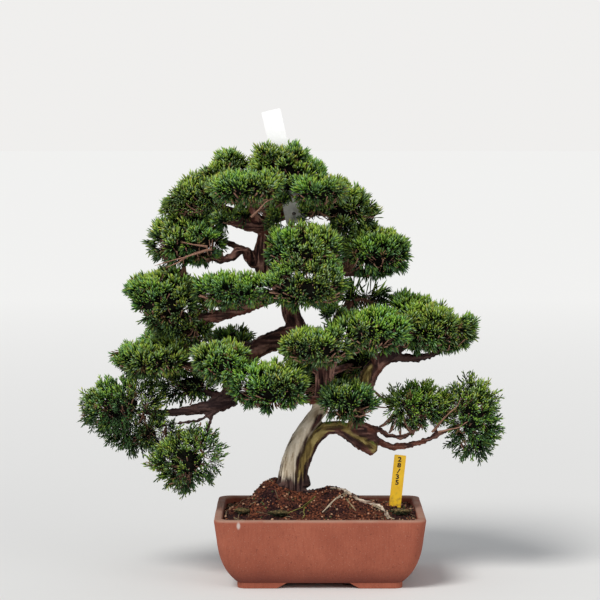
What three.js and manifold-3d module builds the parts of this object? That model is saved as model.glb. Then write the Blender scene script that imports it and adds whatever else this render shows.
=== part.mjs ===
// Shimpaku juniper bonsai: an old tree with a leaning deadwood trunk, a bent lower arm
// and rounded foliage pads, planted in an unglazed rectangular clay pot.
// Millimetres, +Z up, the front of the tree towards -Y.
// The pieces are laid out around the middle of the pot's foot, and the whole group is
// centred on its own footprint at the end.

import * as THREE from "three";
import { mergeVertices } from "three/addons/utils/BufferGeometryUtils.js";
import Module from "manifold-3d";

const wasm = await Module();
wasm.setup();

// Driving dimensions

const GAP = 0.35; // air between two pieces that touch
const POT_WIDTH = 240; // rim, outside, along X
const POT_DEPTH = 194; // rim, outside, along Y
const POT_HEIGHT = 80.5;
const POT_CORNER = 11; // radius of the upright corners
const WALL = 9;
const RIM_CHAMFER = 2.5;
const FLOOR_TOP = 14;
const FOOT_HEIGHT = 6.5;
const FOOT_WALL = 15;
const END_TAPER = 0.135; // lean of the two end walls
const BELLY_START = 50; // height below which the walls curl in
const BELLY_DROP = 52;
const BELLY_INSET = 36;
const LONG_SIDE_SHARE = 0.8; // the long walls curl in a little less than the end walls
const CORNER_POINTS = 5;

const FRONT_CUT = { top: 71, bottom: 95, middle: -2 };
const SIDE_CUT = { top: 56, bottom: 76, middle: 0 };

const DRAIN_RADIUS = 9;
const DRAIN_X = 52;
const MESH_SIDE = 42;
const MESH_THICK = 1.2;
const MESH_HOLE = 11;
const CLIP_WIRE = 0.75;

const SOIL_EDGE = 73; // height of the soil along the walls
const SOIL_GRID = [18, 14];
const SOIL_MOUNDS = [
  { x: -50, y: -5, wide: 34, deep: 40, high: 43 },
  { x: -84, y: -5, wide: 24, deep: 34, high: 6 },
  { x: 14, y: -10, wide: 32, deep: 38, high: 30 },
  { x: 74, y: -8, wide: 42, deep: 50, high: 14 },
];

const LIMB_SIDES = { thick: 8, middling: 5, thin: 4 };
const THICK_LIMB = 7; // limbs that reach this radius have the most sides
const THIN_LIMB = 4.2; // limbs that stay under this radius have the fewest
const EASE = 0.1; // edges shorter than this are merged after cutting
const DRAIN_POCKET = 8; // height of the space that the soil leaves over each drain mesh

const FOLIAGE_FACETS = [10, 7]; // around and from top to bottom
const FOLIAGE_LUMP = 0.04; // how far the lumps rise, as a share of the pad's size
const FOLIAGE_FULLNESS = 2.35; // 2 is an egg, more is nearer to a box
const UNDERSIDE = 0.88;

const LABEL = { width: 13.6, length: 84, thick: 1, point: 12, lean: 6, foot: [84, -20, 61] };
const TAG = { width: 22, length: 132, thick: 0.6, hole: 2.2, holeUp: 11 };
const TAG_FOOT = [-27, -18, 411];
const TAG_HEAD = [-56, -10, 540];
const TAG_WIRE = { radius: 0.6, y: -4, z: 415.5, halfDeep: 18, halfHigh: 10.5 };

// Materials

function paint(colour, roughness, metalness = 0) {
  return new THREE.MeshStandardMaterial({ color: colour, roughness, metalness });
}

const clay = paint(0x9c5a47, 0.85);
const soilBrown = paint(0x3a2419, 0.95);
const bark = paint(0x6b4a35, 0.9);
const leafGreen = paint(0x3f7a2a, 0.7);
const mossGreen = paint(0x55702c, 0.95);
const labelYellow = paint(0xf2c21a, 0.45);
const tagWhite = paint(0xf3f3f0, 0.8);
const wireGrey = paint(0xa9a9a6, 0.4, 0.9);
const meshBlack = paint(0x23272b, 0.6);

// Helpers for solids

// A closed three.js geometry as a solid that can be joined and cut.
function toSolid(geometry) {
  const bare = geometry.clone();
  bare.deleteAttribute("normal");
  bare.deleteAttribute("uv");
  const merged = mergeVertices(bare, 1e-3);
  const index = merged.index.array;
  const kept = [];
  for (let i = 0; i < index.length; i += 3) {
    const [a, b, c] = [index[i], index[i + 1], index[i + 2]];
    if (a !== b && b !== c && c !== a) kept.push(a, b, c);
  }
  return new wasm.Manifold(new wasm.Mesh({
    numProp: 3,
    vertProperties: new Float32Array(merged.attributes.position.array),
    triVerts: new Uint32Array(kept),
  }));
}

function toGeometry(solid) {
  const mesh = solid.getMesh();
  const geometry = new THREE.BufferGeometry();
  geometry.setAttribute("position", new THREE.BufferAttribute(mesh.vertProperties, 3));
  geometry.setIndex(new THREE.BufferAttribute(mesh.triVerts, 1));
  geometry.computeVertexNormals();
  return geometry;
}

function joined(solids) {
  return solids.reduce((whole, solid) => whole.add(solid));
}

// Crumbs that a cut leaves loose are dropped, and the one main body stays.
function mainBody(solid) {
  const bodies = solid.decompose();
  return bodies.reduce((largest, body) => (body.volume() > largest.volume() ? body : largest));
}

function box(sizeX, sizeY, sizeZ, x, y, z) {
  return toSolid(new THREE.BoxGeometry(sizeX, sizeY, sizeZ).translate(x, y, z));
}

const tree = new THREE.Group();

function addPiece(name, solid, material) {
  const mesh = new THREE.Mesh(toGeometry(solid), material);
  mesh.name = name;
  tree.add(mesh);
}

// Pot: a lathe turned round a rounded rectangle instead of a circle

function outlinePoint(column, halfX, halfY, radius) {
  const corner = Math.floor(column / CORNER_POINTS);
  const step = (column % CORNER_POINTS) / (CORNER_POINTS - 1);
  const angle = (corner + step) * (Math.PI / 2);
  const signX = corner === 0 || corner === 3 ? 1 : -1;
  const signY = corner < 2 ? 1 : -1;
  return [
    signX * (halfX - radius) + radius * Math.cos(angle),
    signY * (halfY - radius) + radius * Math.sin(angle),
  ];
}

function inwards(z) {
  const belly = Math.max(0, (BELLY_START - z) / BELLY_DROP);
  const curl = BELLY_INSET * (1 - Math.sqrt(1 - belly * belly));
  return END_TAPER * (POT_HEIGHT - z) + curl;
}

// A ring of the pot at height z, wall millimetres inside the outer surface of height near.
function ring(z, wall, near = z) {
  const inset = inwards(near);
  return {
    z,
    halfX: POT_WIDTH / 2 - inset - wall,
    halfY: POT_DEPTH / 2 - LONG_SIDE_SHARE * inset - wall,
    radius: Math.max(4, POT_CORNER - wall / 2),
  };
}

function turnedBox(rings) {
  const columns = 4 * CORNER_POINTS;
  const ends = [rings[0].z, rings[rings.length - 1].z];
  const profile = [
    new THREE.Vector2(0, ends[0]),
    ...rings.map((each) => new THREE.Vector2(1, each.z)),
    new THREE.Vector2(0, ends[1]),
  ];
  const lathe = new THREE.LatheGeometry(profile, columns);
  const position = lathe.attributes.position;
  for (let column = 0; column <= columns; column += 1) {
    for (let row = 0; row < profile.length; row += 1) {
      const place = column * profile.length + row;
      const each = rings[row - 1];
      if (each) {
        const [x, y] = outlinePoint(column % columns, each.halfX, each.halfY, each.radius);
        position.setXYZ(place, x, y, each.z);
      } else {
        position.setXYZ(place, 0, 0, profile[row].y);
      }
    }
  }
  return toSolid(lathe);
}

// The space inside the walls, shrunk by clearance all round, up to the rim or above it.
function potInside(clearance, top) {
  const floor = FLOOR_TOP + clearance;
  return turnedBox([
    ring(floor, WALL + 4 + clearance),
    ring(floor + 6, WALL + clearance),
    ring(32, WALL + clearance),
    ring(BELLY_START, WALL + clearance),
    ring(POT_HEIGHT, WALL + clearance),
    ring(top, WALL + clearance, POT_HEIGHT),
  ]);
}

function footRing() {
  const outer = ring(FOOT_HEIGHT, 0);
  const outline = new THREE.Shape();
  const opening = new THREE.Path();
  const columns = 4 * CORNER_POINTS;
  for (let column = 0; column < columns; column += 1) {
    const [x, y] = outlinePoint(column, outer.halfX, outer.halfY, POT_CORNER);
    const [innerX, innerY] = outlinePoint(
      column, outer.halfX - FOOT_WALL, outer.halfY - FOOT_WALL, 4);
    if (column === 0) {
      outline.moveTo(x, y);
      opening.moveTo(innerX, innerY);
    } else {
      outline.lineTo(x, y);
      opening.lineTo(innerX, innerY);
    }
  }
  outline.holes.push(opening);
  return toSolid(new THREE.ExtrudeGeometry(outline, { depth: FOOT_HEIGHT + 1, bevelEnabled: false }));
}

// A cut-out between two feet, wide at the table and narrow at the pot.
function footCut(cut, length) {
  const outline = new THREE.Shape([
    new THREE.Vector2(-cut.bottom / 2 - 2, -1),
    new THREE.Vector2(cut.bottom / 2 + 2, -1),
    new THREE.Vector2(cut.top / 2, FOOT_HEIGHT),
    new THREE.Vector2(-cut.top / 2, FOOT_HEIGHT),
  ]);
  const bar = new THREE.ExtrudeGeometry(outline, { depth: length, bevelEnabled: false });
  return bar.translate(cut.middle, 0, -length / 2).rotateX(Math.PI / 2);
}

function makePot() {
  const body = turnedBox([
    ring(FOOT_HEIGHT, 0),
    ring(10, 0),
    ring(15, 0),
    ring(22, 0),
    ring(33, 0),
    ring(BELLY_START, 0),
    ring(POT_HEIGHT - RIM_CHAMFER, 0),
    ring(POT_HEIGHT, RIM_CHAMFER / 2),
  ]);
  const frontCut = toSolid(footCut(FRONT_CUT, 2 * POT_DEPTH));
  const sideCut = toSolid(footCut(SIDE_CUT, 2 * POT_WIDTH).rotateZ(Math.PI / 2));
  const feet = footRing().subtract(frontCut).subtract(sideCut);
  const drain = new THREE.CylinderGeometry(DRAIN_RADIUS, DRAIN_RADIUS, 4 * FLOOR_TOP, 20);
  drain.rotateX(Math.PI / 2);
  return [-DRAIN_X, DRAIN_X].reduce(
    (pot, x) => pot.subtract(toSolid(drain.clone().translate(x, 0, 0))),
    body.add(feet).subtract(potInside(0, POT_HEIGHT + 20)),
  );
}

// Drainage: a plastic mesh over each hole, held by a wire clip through it

function makeDrainMesh(x) {
  const height = FLOOR_TOP + GAP + MESH_THICK / 2;
  const pitch = MESH_SIDE / 3;
  const places = [-1, 0, 1];
  const sheet = box(MESH_SIDE, MESH_SIDE, MESH_THICK, x, 0, height);
  const holes = places.flatMap((column) => places.map((row) => box(
    MESH_HOLE, MESH_HOLE, 3 * MESH_THICK, x + column * pitch, row * pitch, height)));
  return holes.reduce((left, hole) => left.subtract(hole), sheet);
}

function roundSection(radius, sides) {
  const section = new THREE.Shape();
  section.absarc(0, 0, radius, 0, 2 * Math.PI);
  return new THREE.Shape(section.getPoints(sides).slice(0, -1));
}

function wire(points, radius, steps) {
  const route = new THREE.CatmullRomCurve3(points.map((each) => new THREE.Vector3(...each)));
  route.curveType = "centripetal";
  return toSolid(new THREE.ExtrudeGeometry(roundSection(radius, 3), {
    steps, extrudePath: route, bevelEnabled: false,
  }));
}

function makeClip(x) {
  const leg = 5;
  const under = FOOT_HEIGHT - GAP - CLIP_WIRE;
  const over = FLOOR_TOP + 2 * GAP + MESH_THICK + CLIP_WIRE;
  return wire([
    [x - 3 * leg, 0, under - 0.4],
    [x - leg - 1.5, 0, under],
    [x - leg, 0, under + 3],
    [x - leg, 0, over - 3],
    [x - leg + 1.5, 0, over],
    [x + leg - 1.5, 0, over],
    [x + leg, 0, over - 3],
    [x + leg, 0, under + 3],
    [x + leg + 1.5, 0, under],
    [x + 3 * leg, 0, under - 0.4],
  ], CLIP_WIRE, 16);
}

// Wood: the trunk, its bent arm, the second stem, branches and roots grown as one piece.
// A limb is a list of stations, each [x, y, z, radius].

const TRUNK = {
  deadwood_strip: [[-40, -8, 92, 13], [-37, -8, 120, 11], [-33, -8, 138, 10], [-26, -8, 157, 9.5],
    [-17, -6, 172, 9], [-6, -4, 186, 9], [3, 0, 200, 9.5]],
  arm: [[-26, -8, 98, 9], [-23, -8, 120, 8.5], [-17, -9, 141, 8.5], [-8, -9, 159, 8.5],
    [4, -9, 172.5, 8.5], [20, -9, 176, 8.5], [36, -9, 167, 9], [49, -9, 157, 9.5], [59, -9, 151, 8]],
  live_vein: [[-24, -6, 120, 7], [-17, -6, 146, 7], [-9, -5, 165, 6.5], [-1, -4, 181, 5]],
  main_stem: [[-2, -2, 190, 9], [5, 4, 212, 10.5], [6, 6, 234, 11], [-2, 8, 257, 11],
    [-18, 8, 277, 11], [-30, 5, 296, 11.5], [-34, 3, 315, 10.5], [-40, 4, 333, 9.5],
    [-54, 3, 347, 10], [-69, 0, 359, 10.5], [-68, -3, 375, 9.5], [-63, -3, 391, 8],
    [-61, -2, 405, 8.5], [-58, 0, 420, 7.5], [-50, 2, 435, 6], [-36, 2, 449, 5],
    [-27, 0, 468, 3.5], [-25, 0, 484, 2]],
  second_stem: [[40, -9, 172, 9], [43, -3, 187, 9], [48, 2, 207, 10], [54, 3, 226, 10.5],
    [61, 3, 242, 10], [75, 0, 256, 8], [95, -6, 268, 5.5], [118, -5, 280, 4], [143, 0, 289, 2.2]],
  knot: [[40, -9, 175, 9], [54, -7, 171, 9.5], [63, -5, 164, 6]],
  red_stem: [[5, 5, 230, 9], [13, 3, 260, 9], [19, 2, 287, 8.5], [26, 8, 305, 7],
    [35, 18, 316, 4], [52, 28, 322, 2]],
  left_primary: [[-24, 6, 290, 9], [-48, 0, 276, 11.5], [-66, -3, 269, 11.5], [-82, -3, 258, 11],
    [-94, 0, 241, 10], [-102, 0, 223, 9.5], [-108, 0, 208, 7]],
  primary_flare: [[0, 6, 244, 10], [-22, 4, 258, 10.5], [-44, 0, 268, 9]],
};

const BRANCHES = {
  low_left: [[-98, 0, 210, 11], [-120, -2, 200, 9.5], [-138, -3, 196, 6.5], [-153, -3, 194, 5.5],
    [-176, -5, 191, 4], [-207, -5, 193, 2.5], [-238, -5, 196, 1.5]],
  low_left_thin: [[-106, -3, 207, 4], [-123, -8, 191, 3], [-132, -8, 185, 2.6],
    [-149, -8, 181, 2.2], [-168, -6, 180, 2], [-196, 2, 171, 1.5]],
  hanging: [[-114, -3, 203, 3.5], [-124, -10, 190, 2.4], [-127, -13, 176, 2.2], [-136, -15, 158, 1.9],
    [-148, -15, 136, 1.4]],
  lower_left: [[-92, 0, 243, 6], [-110, -10, 244, 4.5], [-138, -8, 245, 4], [-166, -5, 247, 3],
    [-195, -5, 250, 1.8]],
  lower_left_front: [[-90, -2, 251, 5], [-103, -22, 254, 3.5], [-110, -38, 257, 2]],
  lower_left_back: [[-92, 2, 246, 5], [-118, 28, 254, 3.5], [-152, 54, 262, 2.6], [-176, 68, 264, 1.8]],
  middle_left: [[-38, 4, 331, 7.5], [-66, -4, 321, 7.5], [-91, -6, 312, 7.5], [-119, -4, 303, 7],
    [-147, 0, 301, 5], [-177, 0, 309, 3], [-205, 0, 322, 1.8]],
  middle_left_front: [[-64, -4, 324, 5], [-80, -20, 328, 3.2], [-95, -34, 333, 2]],
  middle_left_under: [[-112, -4, 308, 5], [-132, 4, 296, 3.4], [-152, 10, 288, 2]],
  middle_left_back: [[-70, -2, 266, 6], [-86, 30, 268, 3.6], [-102, 62, 268, 2]],
  low_left_inner: [[-112, 0, 210, 6], [-130, 10, 214, 4], [-148, 20, 218, 2]],
  lower_right_back: [[8, 6, 236, 7], [26, 34, 240, 4], [44, 60, 242, 2]],
  upper_left_loop: [[-74, -3, 362, 7], [-83, -13, 375, 5.5], [-88, -17, 386, 5.5],
    [-95, -17, 377, 5.5], [-106, -15, 368, 5], [-122, -13, 372, 4.5], [-139, -12, 375, 3.5],
    [-162, -12, 380, 2]],
  upper_left_low: [[-118, -12, 371, 3.4], [-137, -14, 366, 2.4], [-153, -12, 365, 1.8],
    [-170, -10, 374, 1.4]],
  upper_left_back: [[-76, 0, 372, 6], [-104, 18, 386, 4], [-134, 42, 393, 3], [-154, 58, 394, 1.8]],
  crown_left: [[-63, 0, 409, 8], [-80, -8, 416, 9], [-100, -10, 422, 7], [-123, -8, 430, 4.5],
    [-146, -5, 438, 2.4]],
  crown_fan: [[-62, -2, 403, 8], [-80, -12, 410, 8], [-97, -16, 413, 7.5], [-113, -18, 418, 5.5],
    [-128, -18, 431, 3]],
  crown_front: [[-66, -2, 409, 6], [-75, -26, 424, 4.5], [-86, -48, 442, 2.4]],
  crown_peak: [[-88, -9, 420, 5], [-96, -2, 441, 3.5], [-103, 4, 467, 2]],
  crown_right: [[-59, 0, 416, 6], [-34, 5, 418, 5], [-9, 6, 421, 4.5], [14, 6, 425, 3.5],
    [35, 5, 434, 2]],
  crown_front_right: [[-10, 5, 421, 4.5], [-4, -16, 429, 3], [2, -34, 440, 2]],
  crown_back: [[-61, 0, 418, 6], [-52, 32, 428, 4], [-40, 70, 438, 2]],
  upper_right: [[-68, -2, 386, 6], [-41, -14, 374, 5], [-11, -20, 364, 4.5], [16, -12, 359, 4.5],
    [36, -4, 350, 4], [53, 0, 350, 3.4], [72, 0, 368, 2]],
  upper_front: [[-43, -13, 375, 4.6], [-27, -32, 379, 3], [-14, -46, 383, 2]],
  upper_back: [[-72, 0, 380, 6], [-46, 32, 372, 4], [-6, 72, 369, 2]],
  centre_front: [[-34, 3, 318, 6], [-26, -24, 330, 3.5], [-17, -48, 339, 2]],
  under_right_pad: [[66, 3, 247, 8], [84, 2, 256, 6], [104, 2, 254, 5], [124, 2, 256, 4],
    [140, 2, 264, 3], [155, 2, 277, 1.8]],
  middle_right_top: [[74, 2, 256, 6], [88, 6, 284, 4], [102, 10, 308, 2]],
  middle_right_front: [[67, 3, 246, 7], [62, -18, 263, 4], [58, -38, 280, 2.2]],
  middle_right_back: [[70, 3, 246, 7], [82, 36, 262, 4], [90, 76, 275, 2]],
  middle_centre_front: [[-2, 8, 257, 8], [-6, -24, 263, 4], [-6, -50, 269, 2.2]],
  lower_back: [[6, 6, 232, 8], [4, 36, 224, 4], [0, 72, 217, 2]],
  lower_centre_front: [[4, 1, 203, 7], [-16, -18, 209, 4], [-34, -38, 217, 3.2], [-54, -50, 225, 2]],
  lower_right_front: [[6, 4, 208, 7], [20, -22, 202, 3.5], [31, -42, 206, 2]],
  low_right: [[56, -7, 168, 6], [66, -4, 160, 4.4], [76, -3, 154, 4.4], [87, -3, 151, 4.4],
    [105, -2, 155, 4], [121, 0, 157, 3.6], [134, 0, 164, 3.2], [150, 0, 172, 2.8],
    [167, 0, 178, 2.2], [186, 0, 187, 1.4]],
  low_right_upper: [[54, -6, 175, 5], [64, -2, 174, 3.4], [76, 0, 166, 3.2], [92, 1, 162, 3.2],
    [105, 1, 166, 2.8], [117, 2, 174, 2.2], [124, 2, 190, 1.5]],
  low_right_twig: [[131, 0, 163, 2.6], [137, 2, 176, 1.8], [146, 2, 186, 1.7], [161, 2, 199, 1.3]],
};

const ROOTS = {
  stub: [[-30, -6, 106, 10], [-19, -6, 111, 8], [-11, -6, 113, 6.5]],
  left_root: [[-38, -8, 108, 12], [-54, -12, 100, 9], [-72, -18, 88, 5]],
  back_root: [[-36, -4, 104, 12], [-30, 16, 98, 9], [-22, 36, 86, 5]],
  pale_root: [[-28, -8, 100, 7], [-6, -12, 97, 4], [15, -13, 103, 3], [29, -9, 101.5, 2.8],
    [38, -20, 96.5, 2.6], [51, -23, 90.5, 2.4], [66, -25, 88, 2.2], [74, -43, 83.5, 2.2],
    [78, -62, 77.5, 2]],
  pale_root_fork: [[29, -14, 100, 2.8], [27, -25, 97, 2.4], [19, -35, 92, 2.2], [11, -45, 86.5, 2],
    [5, -53, 82, 1.6]],
};

function limbSides(stations) {
  const thickest = Math.max(...stations.map((station) => station[3]));
  if (thickest >= THICK_LIMB) return LIMB_SIDES.thick;
  return thickest > THIN_LIMB ? LIMB_SIDES.middling : LIMB_SIDES.thin;
}

// A straight bar is bent along the limb's line, and each of its rings takes the limb's radius.
function limb(stations, grow = 0) {
  const line = new THREE.CatmullRomCurve3(
    stations.map(([x, y, z]) => new THREE.Vector3(x, y, z)), false, "centripetal");
  const sides = limbSides(stations);
  const stepsEach = sides === LIMB_SIDES.thick ? 1.25 : 1;
  const steps = Math.round((stations.length - 1) * stepsEach);
  const frames = line.computeFrenetFrames(steps);
  const bar = new THREE.CylinderGeometry(1, 1, 1, sides, steps);
  const position = bar.attributes.position;
  for (let i = 0; i < position.count; i += 1) {
    const k = Math.round((position.getY(i) + 0.5) * steps);
    const along = line.getUtoTmapping(k / steps) * (stations.length - 1);
    const before = Math.min(Math.floor(along), stations.length - 2);
    const radius = grow
      + THREE.MathUtils.lerp(stations[before][3], stations[before + 1][3], along - before);
    const place = line.getPointAt(k / steps);
    if (k === 0) place.addScaledVector(frames.tangents[k], -grow);
    if (k === steps) place.addScaledVector(frames.tangents[k], grow);
    place.addScaledVector(frames.normals[k], radius * position.getX(i));
    place.addScaledVector(frames.binormals[k], -radius * position.getZ(i));
    position.setXYZ(i, place.x, place.y, place.z);
  }
  return toSolid(bar);
}

function armTip(grow) {
  const [x, y, z, radius] = TRUNK.arm[TRUNK.arm.length - 1];
  const ball = new THREE.IcosahedronGeometry(radius + grow, 1);
  return toSolid(ball.translate(x, y, z));
}

function makeWood(grow) {
  const limbs = Object.values({ ...TRUNK, ...BRANCHES, ...ROOTS });
  const whole = joined([armTip(grow), ...limbs.map((stations) => limb(stations, grow))]);
  return grow ? whole : whole.simplify(EASE);
}

// Soil: a mounded surface that fills the pot and wraps the roots

function soilHeight(x, y) {
  return SOIL_MOUNDS.reduce((height, mound) => {
    const away = ((x - mound.x) / mound.wide) ** 2 + ((y - mound.y) / mound.deep) ** 2;
    return height + mound.high * Math.exp(-away);
  }, SOIL_EDGE);
}

function makeSoilBlock() {
  const [across, back] = SOIL_GRID;
  const block = new THREE.BoxGeometry(POT_WIDTH, POT_DEPTH, 1, across, back, 1);
  const position = block.attributes.position;
  for (let i = 0; i < position.count; i += 1) {
    const [x, y] = [position.getX(i), position.getY(i)];
    position.setZ(i, position.getZ(i) > 0 ? soilHeight(x, y) : 0);
  }
  return toSolid(block);
}

function makeSoil(cutters) {
  const filled = makeSoilBlock().intersect(potInside(GAP, 2 * POT_HEIGHT));
  const pockets = [-DRAIN_X, DRAIN_X].map((x) => box(
    MESH_SIDE + 2 * GAP, MESH_SIDE + 2 * GAP, DRAIN_POCKET, x, 0, FLOOR_TOP));
  const cut = [...pockets, ...cutters].reduce((soil, cutter) => soil.subtract(cutter), filled);
  return mainBody(cut.simplify(EASE));
}

// Moss: low cushions pressed into the soil

const MOSS = {
  moss_by_label: { centre: [92, -40, 0], half: [12, 10, 4.5] },
  moss_front: { centre: [-46, -56, 0], half: [12, 9, 4] },
  moss_left: { centre: [-88, -38, 0], half: [10, 12, 3.5] },
};

function mossCushion({ centre, half }, grow = 0) {
  const cushion = new THREE.IcosahedronGeometry(1, 1);
  cushion.scale(half[0] + grow, half[1] + grow, half[2] + grow);
  return toSolid(cushion.translate(centre[0], centre[1], soilHeight(centre[0], centre[1])));
}

// Foliage: one pad per branch end, with its centre, its half sizes and the corners it lacks.

const PADS = {
  pad_apex: { centre: [-35, 0, 463], half: [48, 52, 40], trims: [[[-31, 504], [11, 470]]] },
  pad_crown_peak: { centre: [-103, 4, 470], half: [20, 29, 27] },
  pad_crown_left: {
    centre: [-143, -6, 439],
    half: [46, 43, 30],
    trims: [
      [[-184, 421], [-128, 489]],
    ],
  },
  pad_crown_front: { centre: [-84, -62, 450], half: [45, 34, 21] },
  pad_crown_right: { centre: [33, 5, 431], half: [41, 38, 33], trims: [[[15, 470], [70, 418]]] },
  pad_crown_front_right: { centre: [0, -48, 446], half: [32, 27, 18] },
  pad_crown_back: { centre: [-37, 76, 438], half: [58, 34, 26] },
  pad_upper_left: { centre: [-151, -10, 389], half: [48, 40, 32] },
  pad_upper_left_back: { centre: [-158, 66, 392], half: [34, 31, 21] },
  pad_upper_front: { centre: [-18, -56, 382], half: [47, 36, 31] },
  pad_upper_right: { centre: [65, 0, 376], half: [42, 43, 31] },
  pad_upper_back: { centre: [-4, 78, 369], half: [52, 38, 28] },
  pad_centre_front: { centre: [-16, -62, 341], half: [51, 31, 30] },
  pad_middle_left: {
    centre: [-181, -4, 319],
    half: [50, 47, 40],
    trims: [
      [[-229, 335], [-181, 279]],
    ],
  },
  pad_middle_left_front: { centre: [-96, -48, 334], half: [48, 31, 23] },
  pad_middle_left_under: { centre: [-154, 12, 284], half: [37, 34, 17] },
  pad_middle_left_back: { centre: [-104, 70, 268], half: [28, 31, 14] },
  pad_middle_right: {
    centre: [136, 0, 289],
    half: [48, 47, 33],
    trims: [
      [[122, 320], [182, 290]],
    ],
  },
  pad_middle_right_front: { centre: [59, -52, 289], half: [48, 34, 28] },
  pad_middle_centre_front: { centre: [-4, -66, 272], half: [43, 31, 25] },
  pad_middle_right_sparse: { centre: [50, 32, 321], half: [34, 25, 18] },
  pad_middle_right_back: { centre: [91, 84, 277], half: [54, 34, 24] },
  pad_lower_left: { centre: [-192, -5, 252], half: [48, 43, 24] },
  pad_lower_left_front: { centre: [-111, -52, 254], half: [35, 31, 27] },
  pad_lower_left_back: { centre: [-176, 74, 262], half: [38, 34, 20] },
  pad_low_left_tip: { centre: [-228, -5, 198], half: [48, 43, 31] },
  pad_low_left_under: { centre: [-206, 4, 166], half: [42, 29, 19] },
  pad_hanging: {
    centre: [-154, -15, 136],
    half: [41, 34, 42],
    trims: [
      [[-190, 142], [-140, 172]],
      [[-118, 132], [-154, 99]],
      [[-197, 148], [-172, 99]],
    ],
  },
  pad_lower_centre_front: {
    centre: [-57, -62, 226],
    half: [49, 34, 31],
    trims: [
      [[-98, 238], [-52, 279]],
    ],
  },
  pad_lower_right_front: { centre: [31, -56, 209], half: [36, 29, 26] },
  pad_lower_back: { centre: [-1, 78, 216], half: [50, 34, 24] },
  pad_low_right: { centre: [112, 0, 197], half: [40, 36, 26] },
  pad_low_right_tip: {
    centre: [175, 0, 182],
    half: [30, 34, 47],
    trims: [
      [[147, 176], [173, 137]],
      [[206, 172], [182, 136]],
      [[176, 231], [206, 201]],
    ],
  },
  pad_middle_right_top: { centre: [102, 10, 311], half: [24, 26, 18] },
  pad_lower_right_back: { centre: [46, 64, 243], half: [26, 26, 21] },
  pad_low_left_inner: { centre: [-149, 22, 220], half: [38, 26, 18] },
};

// A trim is a plane seen edge on from the front, through two points in X and Z. It takes a
// corner off the pad and leaves the side that holds the pad's centre.
function trimmed(pad, centre, trims, grow) {
  return trims.reduce((left, [from, to]) => {
    const across = new THREE.Vector2(from[1] - to[1], to[0] - from[0]).normalize();
    const middle = across.dot(new THREE.Vector2(centre[0], centre[2]));
    const edge = across.dot(new THREE.Vector2(...from));
    const side = Math.sign(middle - edge);
    return left.trimByPlane([side * across.x, 0, side * across.y], side * edge - grow);
  }, pad);
}

// A pad is fuller than an egg: a rounded box with a domed top and a flatter underside.
function foliagePad({ centre, half, trims = [] }, grow = 0) {
  const ball = new THREE.SphereGeometry(1, ...FOLIAGE_FACETS).rotateX(Math.PI / 2);
  const position = ball.attributes.position;
  const point = new THREE.Vector3();
  const phase = centre[0] / 17 + centre[2] / 23;
  for (let i = 0; i < position.count; i += 1) {
    point.fromBufferAttribute(position, i);
    const reach = [point.x, point.y, point.z]
      .reduce((sum, part) => sum + Math.abs(part) ** FOLIAGE_FULLNESS, 0) ** (1 / FOLIAGE_FULLNESS);
    const wave = Math.sin(4 * point.x + phase) * Math.cos(3 * point.y - phase);
    point.multiplyScalar((1 - FOLIAGE_LUMP + FOLIAGE_LUMP * wave) / reach);
    const flatter = point.z < 0 ? UNDERSIDE : 1;
    position.setXYZ(
      i,
      centre[0] + point.x * (half[0] + grow),
      centre[1] + point.y * (half[1] + grow),
      centre[2] + point.z * (half[2] * flatter + grow),
    );
  }
  return trimmed(toSolid(ball), centre, trims, grow);
}

// Label and tag

function makeLabel(grow = 0) {
  const half = LABEL.width / 2 + grow;
  const outline = new THREE.Shape([
    new THREE.Vector2(0, -grow),
    new THREE.Vector2(half, LABEL.point),
    new THREE.Vector2(half, LABEL.length + grow),
    new THREE.Vector2(-half, LABEL.length + grow),
    new THREE.Vector2(-half, LABEL.point),
  ]);
  const depth = LABEL.thick + 2 * grow;
  const blade = new THREE.ExtrudeGeometry(outline, { depth, bevelEnabled: false });
  blade.translate(0, 0, -depth / 2).rotateX(Math.PI / 2);
  blade.rotateY(THREE.MathUtils.degToRad(LABEL.lean));
  return toSolid(blade.translate(...LABEL.foot));
}

// Turns a strip drawn upright in X and Y into place between the tag's foot and head.
function placeTag(geometry) {
  const foot = new THREE.Vector3(...TAG_FOOT);
  const up = new THREE.Vector3(...TAG_HEAD).sub(foot).normalize();
  const side = new THREE.Vector3(1, 0, 0).addScaledVector(up, -up.x).normalize();
  const face = new THREE.Vector3().crossVectors(side, up);
  const place = new THREE.Matrix4().makeBasis(side, up, face).setPosition(foot);
  return geometry.applyMatrix4(place);
}

function makeTag(grow = 0) {
  const depth = TAG.thick + 2 * grow;
  const strip = new THREE.BoxGeometry(TAG.width + 2 * grow, TAG.length + 2 * grow, depth);
  return toSolid(placeTag(strip.translate(0, TAG.length / 2, 0)));
}

function makeTagWithHole() {
  const punch = new THREE.CylinderGeometry(TAG.hole, TAG.hole, 4, 10);
  punch.rotateX(Math.PI / 2).translate(0, TAG.holeUp, 0);
  return makeTag().subtract(toSolid(placeTag(punch)));
}

// The wire goes through the tag's hole, round the crown branch behind it and under the tag.
function makeTagWire(grow = 0) {
  const punch = new THREE.BufferGeometry().setFromPoints([new THREE.Vector3(0, TAG.holeUp, 0)]);
  const holeX = placeTag(punch).attributes.position.getX(0);
  const loop = new THREE.TorusGeometry(1, 1, 5, 14);
  const position = loop.attributes.position;
  const thick = TAG_WIRE.radius + grow;
  for (let i = 0; i < position.count; i += 1) {
    const [x, y, z] = [position.getX(i), position.getY(i), position.getZ(i)];
    const angle = Math.atan2(y, x);
    const away = (Math.hypot(x, y) - 1) * thick;
    position.setXYZ(
      i,
      holeX + z * thick,
      TAG_WIRE.y + (TAG_WIRE.halfDeep + away) * Math.cos(angle),
      TAG_WIRE.z + (TAG_WIRE.halfHigh + away) * Math.sin(angle),
    );
  }
  return toSolid(loop);
}

// Assembly

const wood = makeWood(0);
const woodRoom = makeWood(GAP);

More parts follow.
